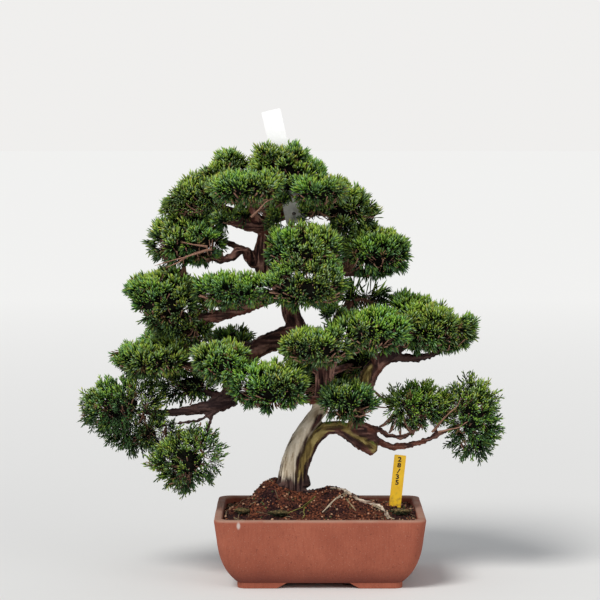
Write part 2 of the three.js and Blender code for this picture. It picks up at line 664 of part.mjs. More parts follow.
addPiece("pot", makePot(), clay);
addPiece("soil", makeSoil([
  woodRoom,
  makeLabel(GAP),
  ...Object.values(MOSS).map((moss) => mossCushion(moss, GAP)),
]), soilBrown);
for (const [name, moss] of Object.entries(MOSS)) {
  addPiece(name, mossCushion(moss), mossGreen);
}
addPiece("wood", wood, bark);

const taken = [woodRoom, makeTag(GAP), makeTagWire(GAP)];
for (const [name, pad] of Object.entries(PADS)) {
  const cut = taken.reduce((left, other) => left.subtract(other), foliagePad(pad));
  addPiece(name, mainBody(cut).simplify(EASE), leafGreen);
  taken.push(foliagePad(pad, GAP));
}

addPiece("plant_label", makeLabel(), labelYellow);
addPiece("paper_tag", makeTagWithHole(), tagWhite);
addPiece("tag_wire", makeTagWire(), wireGrey);
for (const [side, x] of [["left", -DRAIN_X], ["right", DRAIN_X]]) {
  addPiece(`drain_mesh_${side}`, makeDrainMesh(x), meshBlack);
  addPiece(`mesh_clip_${side}`, makeClip(x), wireGrey);
}

const footprint = new THREE.Box3().setFromObject(tree).getCenter(new THREE.Vector3());
tree.position.set(-footprint.x, -footprint.y, 0);

export default tree;
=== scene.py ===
# %% [markdown]
# # A shimpaku juniper in a clay pot
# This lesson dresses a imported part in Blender. The part is an old bonsai tree: a leaning trunk
# with a strip of bare deadwood, an arm that bends over and ends in a saw cut, thirty-six
# pads of scale-leaf shoots, and a clay pot with soil, moss, a plant label and a paper tag.
# The part gives every place and size. The lesson makes bark, shoots, crumbs and clay.

import math

import bmesh
import bpy
import numpy as np
from mathutils import Matrix, Vector, noise
from mathutils.bvhtree import BVHTree


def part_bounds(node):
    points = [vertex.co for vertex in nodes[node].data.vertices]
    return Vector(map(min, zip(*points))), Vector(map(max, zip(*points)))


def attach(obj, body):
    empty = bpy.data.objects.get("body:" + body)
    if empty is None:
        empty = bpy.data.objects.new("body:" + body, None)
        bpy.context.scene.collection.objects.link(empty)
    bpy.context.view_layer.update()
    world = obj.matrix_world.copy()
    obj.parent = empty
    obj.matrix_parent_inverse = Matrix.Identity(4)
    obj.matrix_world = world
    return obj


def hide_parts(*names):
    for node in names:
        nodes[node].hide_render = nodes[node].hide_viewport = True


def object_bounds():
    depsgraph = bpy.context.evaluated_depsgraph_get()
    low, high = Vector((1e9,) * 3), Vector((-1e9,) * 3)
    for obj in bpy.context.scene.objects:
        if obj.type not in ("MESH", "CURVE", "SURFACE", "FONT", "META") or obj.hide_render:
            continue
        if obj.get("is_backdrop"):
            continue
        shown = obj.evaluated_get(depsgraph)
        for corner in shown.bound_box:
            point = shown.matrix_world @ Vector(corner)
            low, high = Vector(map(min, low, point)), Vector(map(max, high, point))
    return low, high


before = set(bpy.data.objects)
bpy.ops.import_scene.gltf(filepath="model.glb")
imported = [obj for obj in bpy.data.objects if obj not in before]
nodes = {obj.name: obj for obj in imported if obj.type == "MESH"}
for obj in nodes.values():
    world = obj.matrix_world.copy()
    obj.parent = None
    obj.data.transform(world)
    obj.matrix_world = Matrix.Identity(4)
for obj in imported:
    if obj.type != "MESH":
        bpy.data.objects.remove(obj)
part_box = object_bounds()
MM = 0.001
print("nodes in the frame:", len(nodes))

# %% [markdown]
# ## Camera
# The photograph doesn't tell its lens, so a long one is assumed. A pinhole camera with that lens
# was fitted to four marks of the pot and came out almost three metres away, half a metre over
# the table and looking slightly down. It is set out from the middle of the pot, not of the tree.

# %% Camera
CAMERA_FROM_POT = Vector((-22.54, -2871.3, 528.4)) * MM
CAMERA_DOWN = 0.07188
FRAME_LENS = 150
SENSOR_WIDTH = 36

pot_low, pot_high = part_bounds("pot")
pot_middle = Vector(((pot_low.x + pot_high.x) / 2, (pot_low.y + pot_high.y) / 2, 0))
camera_data = bpy.data.cameras.new("camera")
camera_data.sensor_width = SENSOR_WIDTH
camera_data.lens = FRAME_LENS
camera_data.clip_end = 50
camera = bpy.data.objects.new("camera", camera_data)
camera.location = pot_middle + CAMERA_FROM_POT
camera.rotation_euler = (math.pi / 2 - CAMERA_DOWN, 0, 0)
bpy.context.scene.collection.objects.link(camera)
bpy.context.scene.camera = camera
print("camera at", [round(part, 3) for part in camera.location])

# %% [markdown]
# ## Light and floor
# A studio picture of a tree has one big soft lamp above the camera and a weaker one at the
# side, so every shoot has a bright top and the hollows under the pads stay dark. The floor is
# a wide disc, a shade under white, and the world behind it has the same pale colour.

# %% Light and floor
scene = bpy.context.scene
scene.view_settings.view_transform = "Standard"
SEEN_BACKGROUND = (0.870, 0.862, 0.850)
SKY_COLOUR = (0.93, 0.96, 1.0)
SKY_LIGHT = 0.45
KEY_LIGHT = 2.3
KEY_FROM = (-0.55, -0.75, 1.25)
FILL = {"at": (1.9, -1.9, 0.8), "size": 1.6, "watts": 14}

world = bpy.data.worlds.new("studio")
world.use_nodes = True
sky_nodes = world.node_tree
sky = sky_nodes.nodes["Background"]
sky.inputs["Color"].default_value = (*SKY_COLOUR, 1)
sky.inputs["Strength"].default_value = SKY_LIGHT
seen = sky_nodes.nodes.new("ShaderNodeBackground")
seen.inputs["Color"].default_value = (*SEEN_BACKGROUND, 1)
either = sky_nodes.nodes.new("ShaderNodeMixShader")
sky_nodes.links.new(sky_nodes.nodes.new("ShaderNodeLightPath").outputs["Is Camera Ray"], either.inputs[0])
sky_nodes.links.new(sky.outputs[0], either.inputs[1])
sky_nodes.links.new(seen.outputs[0], either.inputs[2])
sky_nodes.links.new(either.outputs[0], sky_nodes.nodes["World Output"].inputs["Surface"])
scene.world = world

AIM = Vector((0, 0, 0.26))


def add_lamp(name, kind, place, energy):
    data = bpy.data.lights.new(name, kind)
    data.energy = energy
    data.color = (1, 0.985, 0.955)
    lamp = bpy.data.objects.new(name, data)
    lamp.location = place
    lamp.rotation_euler = (AIM - Vector(place)).to_track_quat("-Z", "Y").to_euler()
    scene.collection.objects.link(lamp)
    return data


add_lamp("key", "SUN", KEY_FROM, KEY_LIGHT).angle = math.radians(24)
fill = add_lamp("fill", "AREA", FILL["at"], FILL["watts"])
fill.shape = "DISK"
fill.size = FILL["size"]
print("key light", KEY_LIGHT, "sky", SKY_LIGHT)

# %% [markdown]
# ## Small helpers for materials
# A material is a tree of nodes. These helpers keep each line to one thought: `add` makes a
# node and fills its sockets, `blend` mixes two colours, `stops` turns a number from 0 to 1 into
# a colour through a ramp, and `lay_over` puts a stain or speck of one colour on another. `maths`
# keeps sums and products between 0 and 1, because they serve as masks.

# %% Helpers for materials
def add(tree, kind, settings=None, **sockets):
    made = tree.nodes.new("ShaderNode" + kind)
    for key, value in (settings or {}).items():
        setattr(made, key, value)
    for key, value in sockets.items():
        socket = made.inputs[key.replace("_", " ")]
        if isinstance(value, bpy.types.NodeSocket):
            tree.links.new(value, socket)
        else:
            socket.default_value = value
    return made


def blend(tree, factor, first, second, way="MIX"):
    made = tree.nodes.new("ShaderNodeMix")
    made.data_type = "RGBA"
    made.blend_type = way
    for socket, value in zip((made.inputs[0], made.inputs[6], made.inputs[7]), (factor, first, second)):
        if isinstance(value, bpy.types.NodeSocket):
            tree.links.new(value, socket)
        elif isinstance(value, tuple):
            socket.default_value = (*value, 1)
        else:
            socket.default_value = value
    return made.outputs[2]


def stops(tree, factor, *places):
    made = tree.nodes.new("ShaderNodeValToRGB")
    ramp = made.color_ramp
    while len(ramp.elements) < len(places):
        ramp.elements.new(1)
    for element, (place, colour) in zip(ramp.elements, places):
        element.position = place
        element.color = (*colour, 1) if isinstance(colour, tuple) else (colour, colour, colour, 1)
    tree.links.new(factor, made.inputs[0])
    return made.outputs[0]


def maths(tree, operation, first, second=0.0):
    made = tree.nodes.new("ShaderNodeMath")
    made.operation = operation
    made.use_clamp = operation in ("ADD", "SUBTRACT", "MULTIPLY")
    for socket, value in zip(made.inputs, (first, second)):
        if isinstance(value, bpy.types.NodeSocket):
            tree.links.new(value, socket)
        else:
            socket.default_value = value
    return made.outputs[0]


def new_material(name, roughness, specular=0.4):
    material = bpy.data.materials.new(name)
    material.use_nodes = True
    shader = material.node_tree.nodes["Principled BSDF"]
    shader.inputs["Roughness"].default_value = roughness
    shader.inputs["Specular IOR Level"].default_value = specular
    return material, material.node_tree, shader


def bump(tree, shader, height, distance, strength=1.0):
    made = add(tree, "Bump", Height=height, Distance=distance, Strength=strength)
    tree.links.new(made.outputs[0], shader.inputs["Normal"])


def lay_over(tree, under, colour, mask, share):
    """Lays a colour over another where the mask says, at most with the given share."""
    return blend(tree, maths(tree, "MULTIPLY", mask, share), under, colour)


def axes_of(tree, vector):
    return add(tree, "SeparateXYZ", Vector=vector).outputs


def paint(tree, shader, colour, roughness=None):
    tree.links.new(colour, shader.inputs["Base Color"])
    if roughness is not None:
        tree.links.new(roughness, shader.inputs["Roughness"])


print("material helpers ready")


# %% [markdown]
# Almost every surface here is a little uneven in colour: clay, bark, soil and moss alike. That
# effect is one node group with a mask as its output. Each material sets how coarse the patches
# are, and which part of the noise counts as light or dark.

# %% Node group: uneven patches
def make_patches():
    group = bpy.data.node_groups.new("uneven_patches", "ShaderNodeTree")
    group.interface.new_socket("Vector", in_out="INPUT", socket_type="NodeSocketVector")
    for name, value in (("Scale", 40), ("Detail", 3), ("Dark", 0.35), ("Light", 0.65)):
        socket = group.interface.new_socket(name, in_out="INPUT", socket_type="NodeSocketFloat")
        socket.default_value = value
    group.interface.new_socket("Mask", in_out="OUTPUT", socket_type="NodeSocketFloat")
    start = group.nodes.new("NodeGroupInput")
    end = group.nodes.new("NodeGroupOutput")
    cloud = add(group, "TexNoise", Vector=start.outputs["Vector"], Scale=start.outputs["Scale"],
                Detail=start.outputs["Detail"])
    spread = add(group, "MapRange", Value=cloud.outputs[0], From_Min=start.outputs["Dark"],
                 From_Max=start.outputs["Light"])
    group.links.new(spread.outputs[0], end.inputs["Mask"])
    return group


patches_group = make_patches()


def patches(tree, vector, scale, detail=3.0, dark=0.35, light=0.65):
    made = tree.nodes.new("ShaderNodeGroup")
    made.node_tree = patches_group
    tree.links.new(vector, made.inputs["Vector"])
    for name, value in (("Scale", scale), ("Detail", detail), ("Dark", dark), ("Light", light)):
        made.inputs[name].default_value = value
    return made.outputs["Mask"]


def object_place(tree):
    return tree.nodes.new("ShaderNodeTexCoord").outputs["Object"]


print("node group:", patches_group.name)

# %% [markdown]
# ## Small helpers for meshes
# A single piece is shaped as a bmesh and finished by `mesh_of`. What is repeated thousands of
# times is handled as arrays instead: a shape is made once with bmesh operators, read out by
# `as_arrays`, and its copies are placed by multiplying all points at once. `bar` is such a
# shape, a round bar with some rings, and `bend` lays it through several places.

# %% Helpers for meshes
def mesh_of(shape, name):
    """The bmesh as a mesh, after which the bmesh is let go."""
    mesh = bpy.data.meshes.new(name)
    shape.to_mesh(mesh)
    shape.free()
    return mesh


def points_in(geometry):
    return [each for each in geometry if isinstance(each, bmesh.types.BMVert)]


def soften(shape, verts):
    bmesh.ops.smooth_vert(shape, verts=verts, factor=0.5, use_axis_x=True, use_axis_y=True,
                          use_axis_z=True)


def cut_off(shape, point, normal):
    """Takes away what lies behind a plane, and closes the hole that the cut leaves."""
    bmesh.ops.bisect_plane(shape, geom=shape.verts[:] + shape.edges[:] + shape.faces[:], dist=1e-7,
                           plane_co=point, plane_no=normal, clear_inner=True)
    bmesh.ops.holes_fill(shape, edges=[edge for edge in shape.edges if edge.is_boundary], sides=0)


def as_arrays(mesh):
    points = np.empty(len(mesh.vertices) * 3, np.float32)
    mesh.vertices.foreach_get("co", points)
    mesh.calc_loop_triangles()
    triangles = np.empty(len(mesh.loop_triangles) * 3, np.int32)
    mesh.loop_triangles.foreach_get("vertices", triangles)
    return points.reshape(-1, 3), triangles.reshape(-1, 3)


def tree_from(points, triangles):
    """A search tree, which finds the nearest spot of a net or where a ray meets it."""
    return BVHTree.FromPolygons([Vector(map(float, p)) for p in points], triangles.tolist())


def bar(sides, steps, taper=0.5):
    """A bar along Z from 0 to 1 with some rings, to bend into a root, a twig or a fibre."""
    shape = bmesh.new()
    bmesh.ops.create_cone(shape, cap_ends=True, segments=sides, radius1=1, radius2=taper, depth=1)
    bmesh.ops.translate(shape, vec=(0, 0, 0.5), verts=shape.verts)
    sides_long = [edge for edge in shape.edges if edge.calc_length() > 0.99]
    bmesh.ops.subdivide_edges(shape, edges=sides_long, cuts=steps)
    bmesh.ops.triangulate(shape, faces=shape.faces)
    return as_arrays(mesh_of(shape, "bar"))


def bend(points, spots, widths):
    """A bar's points laid through several places, as wide as told at each of the points."""
    spots = np.array(spots, float)
    at = np.linspace(0, 1, len(spots))
    placed = np.stack([np.interp(points[:, 2], at, spots[:, axis]) for axis in range(3)], 1)
    across = spots[-1] - spots[0]
    across /= np.linalg.norm(across)
    side = np.cross(across, [0, 0, 1.0])
    side /= np.linalg.norm(side)
    up = np.cross(across, side)
    placed += side * (points[:, 0] * widths)[:, None] + up * (points[:, 1] * widths)[:, None]
    return placed


def show(name, mesh, slot, replaced, *materials):
    for material in materials:
        mesh.materials.append(material)
    piece = bpy.data.objects.new(name, mesh)
    scene.collection.objects.link(piece)
    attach(piece, "root")
    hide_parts(*replaced)
    return piece


print("mesh helpers ready")

# %% [markdown]
# ## The floor
# The floor is one flat disc. It gets paler with the distance from its middle, so that far away
# it melts into the world behind it and no horizon shows.

# %% Floor
FLOOR_RADIUS = 40
floor_material, floor_nodes, floor_shader = new_material("pale_floor", 1.0, 0.0)
floor_place = object_place(floor_nodes)
away = add(floor_nodes, "VectorMath", {"operation": "LENGTH"}, Vector=floor_place)
outwards = add(floor_nodes, "MapRange", Value=away.outputs["Value"], From_Min=0.7, From_Max=4.5)
floor_tint = stops(floor_nodes, outwards.outputs[0], (0.0, (0.770, 0.766, 0.758)),
                   (1.0, (0.926, 0.920, 0.908)))
paint(floor_nodes, floor_shader, floor_tint)

floor_shape = bmesh.new()
bmesh.ops.create_circle(floor_shape, cap_ends=True, segments=96, radius=FLOOR_RADIUS)
floor_mesh = mesh_of(floor_shape, "floor")
floor_mesh.materials.append(floor_material)
floor = bpy.data.objects.new("floor", floor_mesh)
scene.collection.objects.link(floor)
floor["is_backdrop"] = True
print("floor radius", FLOOR_RADIUS, "m")

# %% [markdown]
# ## The foliage
# On the real tree a pad is made of tufts. A tuft is a fan of sprigs, a sprig is a shoot a
# centimetre and a half long with shorter ones on all sides, and each shoot is wrapped in scale
# leaves and about two millimetres thick. The tips are yellow-green and the old leaves inside
# are dark and bluish.
#
# Hair would be quick, but it is lost when the model is exported, so the sprigs are real
# meshes. A few sprigs are modelled once and copied more than ten thousand times. A shape that
# is repeated so often has to be cheap, so each shoot is a spindle of only six faces.
#
# The leaf material reads two numbers that every sprig carries in its map. The first is its
# tone, from shaded through sunlit, with the highest values kept for dead brown shoots. The
# second runs from the base to the tip. One ramp along the shoot is made for shade and one for
# sun, and the tone mixes them. No two shoots have quite the same green: what is left of the
# tone after division by a small step picks a hue from bluish to yellow, and a wide noise turns
# whole branches a little.

# %% Leaf material
SPRIG_MAP = "tone_and_tip"
HUE_STEP = 0.043
DEAD_ABOVE = 0.955


def map_place(tree):
    return add(tree, "UVMap", {"uv_map": SPRIG_MAP}).outputs[0]


leaf_material, leaf_nodes, leaf_shader = new_material("scale_leaves", 0.5, 0.35)
sprig_place = map_place(leaf_nodes)
tone, tip = axes_of(leaf_nodes, sprig_place)[:2]
# Both ramps start near black at a shoot's base, deep in its tuft. That dark is partly the old leaves' own
# colour and partly painted shade. The two ramps are painted shade and painted sunlight on one green, and the
# tone mixes them.
shaded = stops(leaf_nodes, tip, (0.0, (0.006, 0.006, 0.006)), (0.45, (0.010, 0.018, 0.012)),
               (0.7, (0.032, 0.066, 0.023)), (1.0, (0.080, 0.148, 0.048)))
sunlit = stops(leaf_nodes, tip, (0.0, (0.008, 0.009, 0.007)), (0.42, (0.030, 0.056, 0.014)),
               (0.64, (0.215, 0.345, 0.046)), (1.0, (0.690, 0.800, 0.240)))
living = lay_over(leaf_nodes, shaded, sunlit, tone, 1.1)
hue_pick = maths(leaf_nodes, "DIVIDE", maths(leaf_nodes, "MODULO", tone, HUE_STEP), HUE_STEP)
shoot_hue = stops(leaf_nodes, hue_pick, (0.0, (0.960, 0.980, 2.500)), (0.3, (0.640, 0.860, 1.000)),
                  (0.7, (0.760, 0.860, 0.300)), (1.0, (1.060, 0.840, 0.640)))
living = blend(leaf_nodes, 1.0, living, shoot_hue, "MULTIPLY")
branch_pick = patches(leaf_nodes, object_place(leaf_nodes), 13, 1, 0.42, 0.58)
branch_hue = blend(leaf_nodes, branch_pick, (0.820, 1.030, 0.860), (1.050, 1.000, 0.920))
living = blend(leaf_nodes, 1.0, living, branch_hue, "MULTIPLY")
dead = stops(leaf_nodes, tip, (0.0, (0.035, 0.018, 0.008)), (1.0, (0.230, 0.150, 0.055)))
is_dead = maths(leaf_nodes, "GREATER_THAN", tone, DEAD_ABOVE)
scales = add(leaf_nodes, "TexWave", {"bands_direction": "Y"}, Vector=sprig_place, Scale=4.0,
             Distortion=0.6)
paint(leaf_nodes, leaf_shader, blend(leaf_nodes, is_dead, living, dead),
      stops(leaf_nodes, scales.outputs[1], (0.0, 0.42), (1.0, 0.62)))
print("leaf material:", leaf_material.name)

# %% [markdown]
# A twig's bark is brown and spotted. The shade inside a pad is almost black, but never quite
# even, or it would look like a hole.

# %% Twig material, and the shade inside a pad
twig_material, twig_nodes, twig_shader = new_material("twig_bark", 0.85, 0.25)
twig_mask = patches(twig_nodes, map_place(twig_nodes), 60, 4)
paint(twig_nodes, twig_shader, blend(twig_nodes, twig_mask, (0.130, 0.060, 0.040), (0.430, 0.240, 0.165)))

hollow_material, hollow_nodes, hollow_shader = new_material("shade_inside_pad", 0.95, 0.05)
hollow_mask = patches(hollow_nodes, map_place(hollow_nodes), 45, 5)
paint(hollow_nodes, hollow_shader,
      blend(hollow_nodes, hollow_mask, (0.003, 0.003, 0.003), (0.014, 0.013, 0.009)))
print("twig and shade materials ready")

# %% [markdown]
# Three kinds of sprig grow here. On a dense pad the fingers leave the shoot low down and fan
# out. The hanging pads have feathery sprigs, which are longer, with short fingers all the way
# up. One thin pad has wispy sprigs, whose long fingers spread wide. Nine of each kind are
# modelled, each a little different. Every finger gets a tone of its own.

# %% Sprig shapes
FINGERS = 7
FINGER_RADIUS = 0.76
FINGER_POINTS = 5
FULLEST_AT = 0.78       # where along its length a finger is thickest
SPRIG_KINDS = 9
dice = np.random.default_rng(41)


def add_finger(sprig, foot, direction, length, radius):
    """A spindle: the ball with the fewest faces, three round its middle, drawn out along Z."""
    finger = bmesh.new()
    bmesh.ops.create_uvsphere(finger, u_segments=3, v_segments=2, radius=1)
    bmesh.ops.scale(finger, vec=(radius, radius, length / 2), verts=finger.verts)
    bmesh.ops.translate(finger, vec=(0, 0, length / 2), verts=finger.verts)
    for vert in finger.verts:
        if abs(vert.co.z - length / 2) < 0.1:
            vert.co.z = length * FULLEST_AT
    turn = Vector(direction).to_track_quat("Z", "Y").to_matrix()
    bmesh.ops.rotate(finger, cent=(0, 0, 0), matrix=turn, verts=finger.verts)
    bmesh.ops.translate(finger, vec=foot, verts=finger.verts)
    made = mesh_of(finger, "finger")
    sprig.from_mesh(made)
    bpy.data.meshes.remove(made)


def finger_habit(kind, habit, step):
    """How far up the shoot a finger starts, its lean, the side it leaves on, and its length."""
    share = step / FINGERS
    if habit == "feathery":
        up = 4 + 15 * share + dice.uniform(-0.8, 0.8)
        lean = math.radians(dice.uniform(26, 46))
        side = math.pi * step + dice.uniform(-0.7, 0.7) + kind
        return up, lean, side, dice.uniform(7.5, 11) * (1 - 0.45 * share)
    if habit == "wispy":
        lean = math.radians(dice.uniform(12, 62))
        side = 2.4 * step + dice.uniform(-0.5, 0.5) + kind
        return 3 * share, lean, side, dice.uniform(14, 25)
    up = 7 * share + dice.uniform(-0.5, 0.5)
    lean = math.radians(dice.uniform(14, 44) * (1 - 0.35 * share))
    side = 2.4 * step + dice.uniform(-0.5, 0.5) + kind
    return up, lean, side, dice.uniform(9.5, 15.5) * (1 - 0.25 * share)


def make_sprig(kind, habit):
    """One long shoot up the middle, and fingers that leave it on all sides, the lowest first."""
    long_one, reach_one = (25, 24) if habit == "feathery" else (19, 18)
    sprig = bmesh.new()
    add_finger(sprig, (0, 0, -2), (0, 0, 1), long_one, FINGER_RADIUS * 1.15)
    for step in range(FINGERS):
        up, lean, side, length = finger_habit(kind, habit, step)
        direction = (math.sin(lean) * math.cos(side), 0.7 * math.sin(lean) * math.sin(side), math.cos(lean))
        add_finger(sprig, (0, 0, up), direction, length, FINGER_RADIUS)
    bmesh.ops.triangulate(sprig, faces=sprig.faces)
    points, triangles = as_arrays(mesh_of(sprig, "sprig"))
    heights = points.reshape(-1, FINGER_POINTS, 3)[:, :, 2]
    foot = heights.min(axis=1)[:, None]
    span = heights.max(axis=1)[:, None] - foot
    along = ((heights - foot) / span).ravel()
    own_tone = np.repeat(dice.uniform(-0.5, 0.4, len(heights)), FINGER_POINTS)
    reach = np.clip(np.linalg.norm(points, axis=1) / reach_one, 0, 1)
    return points, triangles, own_tone, np.clip(0.6 * along + 0.4 * reach, 0.01, 0.99)


dense_shapes = [make_sprig(kind, "dense") for kind in range(SPRIG_KINDS)]
feather_shapes = [make_sprig(kind, "feathery") for kind in range(SPRIG_KINDS)]
wispy_shapes = [make_sprig(kind, "wispy") for kind in range(SPRIG_KINDS)]
print("triangles in a sprig:", len(dense_shapes[0][1]))

# %% [markdown]
# ## Where the tufts grow
# The part has one closed solid for each pad, and its skin says where the shoots end. Points
# are scattered over that skin. A point is dropped if it is buried in a neighbouring pad or
# in wood, or too near to a point that is already taken, or at the paper tag. On a pad's
# underside a noise picks bare patches, where only twigs will show.
#
# Each pad has a habit: how far apart its tufts stand, how many sprigs a tuft has, of which
# size and kind, how much they turn upwards, how far the pad is shaded, how ragged its outline
# is, how deep its tufts' hearts lie in millimetres, and how big its dark kernel is.

# %% Habits of the pads
TUFT_SPACING = 11.9 * MM
pad_names = sorted(name for name in nodes if name.startswith("pad_"))
DENSE = {"spacing": 1.0, "sprigs": 6, "size": 1.0, "kernel": 0.62, "up": 0.8, "shade": 0.0,
         "bare_below": -0.22, "ragged": 4, "heart": 15, "shapes": dense_shapes}
SHADY = {**DENSE, "spacing": 1.15, "kernel": 0.5, "shade": 0.3}
SUNNY = {**DENSE, "shade": -0.1}
LOOSE = {**DENSE, "spacing": 1.05, "size": 0.98, "kernel": 0.42, "up": 0.2,
         "bare_below": -0.8, "ragged": 11, "shapes": feather_shapes}
WISPY = {**LOOSE, "spacing": 1.4, "sprigs": 2, "size": 1.3, "kernel": 0, "up": 0.15, "shade": 0.36,
         "heart": 24, "shapes": wispy_shapes}
HABITS = {"pad_hanging": LOOSE, "pad_low_left_inner": LOOSE, "pad_low_right": LOOSE,
          "pad_low_right_tip": LOOSE, "pad_low_left_tip": {**LOOSE, "shade": 0.22},
          "pad_low_left_under": {**LOOSE, "shade": 0.2}, "pad_lower_right_front": SHADY,
          "pad_middle_right": SUNNY, "pad_middle_right_top": SUNNY,
          "pad_middle_right_front": SUNNY, "pad_middle_right_sparse": WISPY}


def habit_of(name):
    return HABITS.get(name, DENSE)


print("pads:", len(pad_names), "with a habit of their own:", len(HABITS))

# %% [markdown]
# A net is scattered evenly when each triangle is picked as often as its area asks, and the
# place within it by two more random numbers. Search trees of the pads and the wood then tell
# whether a place is buried. Where two pads almost touch, tufts stand out further, so that the
# crease between them closes.

# %% Scatter points over the skins of the pads
CREASE_REACH, CREASE_FILL = 15 * MM, 8 * MM
BARE_ABOVE = -0.02      # a skin that faces down is bare where the noise is higher than this
BARE_PATCH = 9 * MM
SKIN_TRIES = 1500
CLEAR_OF_TAG = 5 * MM


def noise_at(place, size):
    return noise.noise(Vector(place) / size)


def random_directions(count):
    spread = dice.normal(size=(count, 3))
    return spread / np.linalg.norm(spread, axis=1)[:, None]


def scatter(points, triangles, count, is_open=None):
    """Random places on a net, and which way it faces there. A test can close parts of it."""
    a, b, c = (points[triangles[:, k]].astype(float) for k in range(3))
    normals = np.cross(b - a, c - a)
    areas = np.linalg.norm(normals, axis=1)
    normals /= np.maximum(areas, 1e-12)[:, None]
    if is_open:
        areas = np.where(is_open(a, normals), areas, 0)
    picks = dice.choice(len(areas), count, p=areas / areas.sum())
    r, s = np.sqrt(dice.random(count))[:, None], dice.random(count)[:, None]
    return (1 - r) * a[picks] + r * (1 - s) * b[picks] + r * s * c[picks], normals[picks]


solids = {name: (tree_from(*as_arrays(nodes[name].data)), *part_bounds(name)) for name in pad_names + ["wood"]}
tag_tree = tree_from(*as_arrays(nodes["paper_tag"].data))


def is_buried(place, own):
    for name, (tree, low, high) in solids.items():
        if name == own or any(not low[k] < place[k] < high[k] for k in range(3)):
            continue
        spot, outwards, _, _ = tree.find_nearest(place)
        if (place - spot).dot(outwards) < 0:
            return True
    return False


def lean_on_neighbours(name, place, outwards):
    """Where two pads almost touch, a tuft stands further out, so that they grow into one mass."""
    for other, (tree, low, high) in solids.items():
        if other in (name, "wood") or any(not low[k] - CREASE_REACH < place[k] < high[k] + CREASE_REACH
                                          for k in range(3)):
            continue
        spot, its_way, _, away = tree.find_nearest(place, CREASE_REACH)
        if spot is None:
            continue
        closeness = 1 - away / CREASE_REACH
        outwards = outwards + 0.7 * closeness * np.array(its_way)
        outwards = outwards / max(0.3, np.linalg.norm(outwards))
        place = place + outwards * closeness * CREASE_FILL * 0.6
    return place, outwards / max(1e-6, np.linalg.norm(outwards))


def tuft_points(name):
    """The tufts of a pad, and the bare spots under it, each a place and the way out."""
    kept, bare = [], []
    spacing = TUFT_SPACING * habit_of(name)["spacing"]
    for place, outwards in zip(*scatter(*as_arrays(nodes[name].data), SKIN_TRIES)):
        faces_down = outwards[2] < habit_of(name)["bare_below"]
        is_bare = faces_down and noise_at(place, BARE_PATCH) > BARE_ABOVE
        taken, apart = (bare, 0.6 * spacing) if is_bare else (kept, spacing)
        if any(np.sum((place - other) ** 2) < apart ** 2 for other, _ in taken):
            continue
        at_tag = tag_tree.find_nearest(place, CLEAR_OF_TAG)[0]
        if at_tag or is_buried(Vector(place + outwards * 2.5 * MM), name):
            continue
        taken.append((place, outwards))
    return [lean_on_neighbours(name, place, outwards) for place, outwards in kept], bare


tufts, bare_spots = {}, {}
for name in pad_names:
    tufts[name], bare_spots[name] = tuft_points(name)
print("tufts on the pads:", sum(map(len, tufts.values())))
print("bare spots:", sum(map(len, bare_spots.values())))

# %% [markdown]
# Some shoots don't belong to a pad's round shape: they hang under the crown in front of its
# branches, hide most of the paper tag's lower end, or stand up in a tuft on the apex. Each
# group of them is scattered round a centre, measured from the middle of the pot.

# %% Loose groups of tufts
GROUPS = (("pad_crown_front", (-108, -24, 414), (17, 10, 8), 11, 0.1),
          ("pad_crown_front", (-84, -22, 418), (12, 8, 6), 4, 0.1),
          ("pad_crown_front", (-50, -28, 420), (8, 8, 12), 8, 0.1),
          ("pad_crown_right", (-9, -14, 420), (13, 10, 9), 8, 0.1),
          ("pad_crown_right", (26, -14, 404), (13, 10, 7), 6, 0.1),
          ("pad_apex", (-40, -34, 434), (7, 6, 8), 2, 0.1),
          ("pad_apex", (-61, -28, 485), (11, 4, 3), 7, 0.9),
          ("pad_apex", (-45, -27, 487), (9, 4, 3), 6, 0.9),
          ("pad_crown_left", (-121, -8, 463), (8, 12, 6), 5, 0.1),
          ("pad_middle_left_front", (-125, -10, 316), (15, 10, 7), 6, 0.1),
          ("pad_centre_front", (13, -25, 304), (8, 10, 12), 7, 0.1))
FORWARD = -0.5
TUFT_OUT = 9 * MM
for name, centre, half, count, up in GROUPS:
    for _ in range(count):
        off = random_directions(1)[0] * dice.random() ** 0.33
        spot = np.array(pot_middle) + (np.array(centre) + off * np.array(half)) * MM
        way = off + np.array([0, FORWARD, up])
        tufts[name].append((spot + way * TUFT_OUT, way / np.linalg.norm(way)))
print("tufts in all:", sum(map(len, tufts.values())))

# %% [markdown]
# ## Sprigs, twigs and the shade inside
# Each tuft gets a heart a little under the skin, and its sprigs fan out from there, mostly
# outwards and a little upwards, as shoots grow towards the light. A tuft that faces up is
# sunlit and one that faces down is shaded, and a noise makes neighbouring tufts differ in tone
# and in how far they stand out. A few sprigs are dead and brown and sit a little deeper.

# %% Helpers for growing parts
def frames_for(directions, rolls):
    """One 3 x 3 turn for each direction, which becomes the sprig's own Z."""
    z = directions / np.linalg.norm(directions, axis=1)[:, None]
    helper = np.where(np.abs(z[:, 2:]) < 0.9, [[0.0, 0.0, 1.0]], [[1.0, 0.0, 0.0]])
    x = np.cross(helper, z)
    x /= np.linalg.norm(x, axis=1)[:, None]
    y = np.cross(z, x)
    c, s = np.cos(rolls)[:, None], np.sin(rolls)[:, None]
    return np.stack([c * x + s * y, c * y - s * x, z], axis=2)


def map_of(points, first, second):
    """A map place for each point, out of two numbers or two lists of them."""
    spread = np.ones(len(points))
    return np.stack([first * spread, second * spread], 1)


def joined(parts):
    """Several parts as one. A part is its points, its triangles and its map places."""
    points, triangles, maps = zip(*parts)
    offsets = np.cumsum([0] + [len(each) for each in points[:-1]])
    shifted = [each + offset for each, offset in zip(triangles, offsets)]
    return np.concatenate(points), np.concatenate(shifted), np.concatenate(maps)


print("a turn towards X:", frames_for(np.array([[1.0, 0, 0]]), np.zeros(1))[0].tolist())

# %% [markdown]
# A sprig's copy is its points times a size, turned by a 3 x 3 turn and moved to its heart.

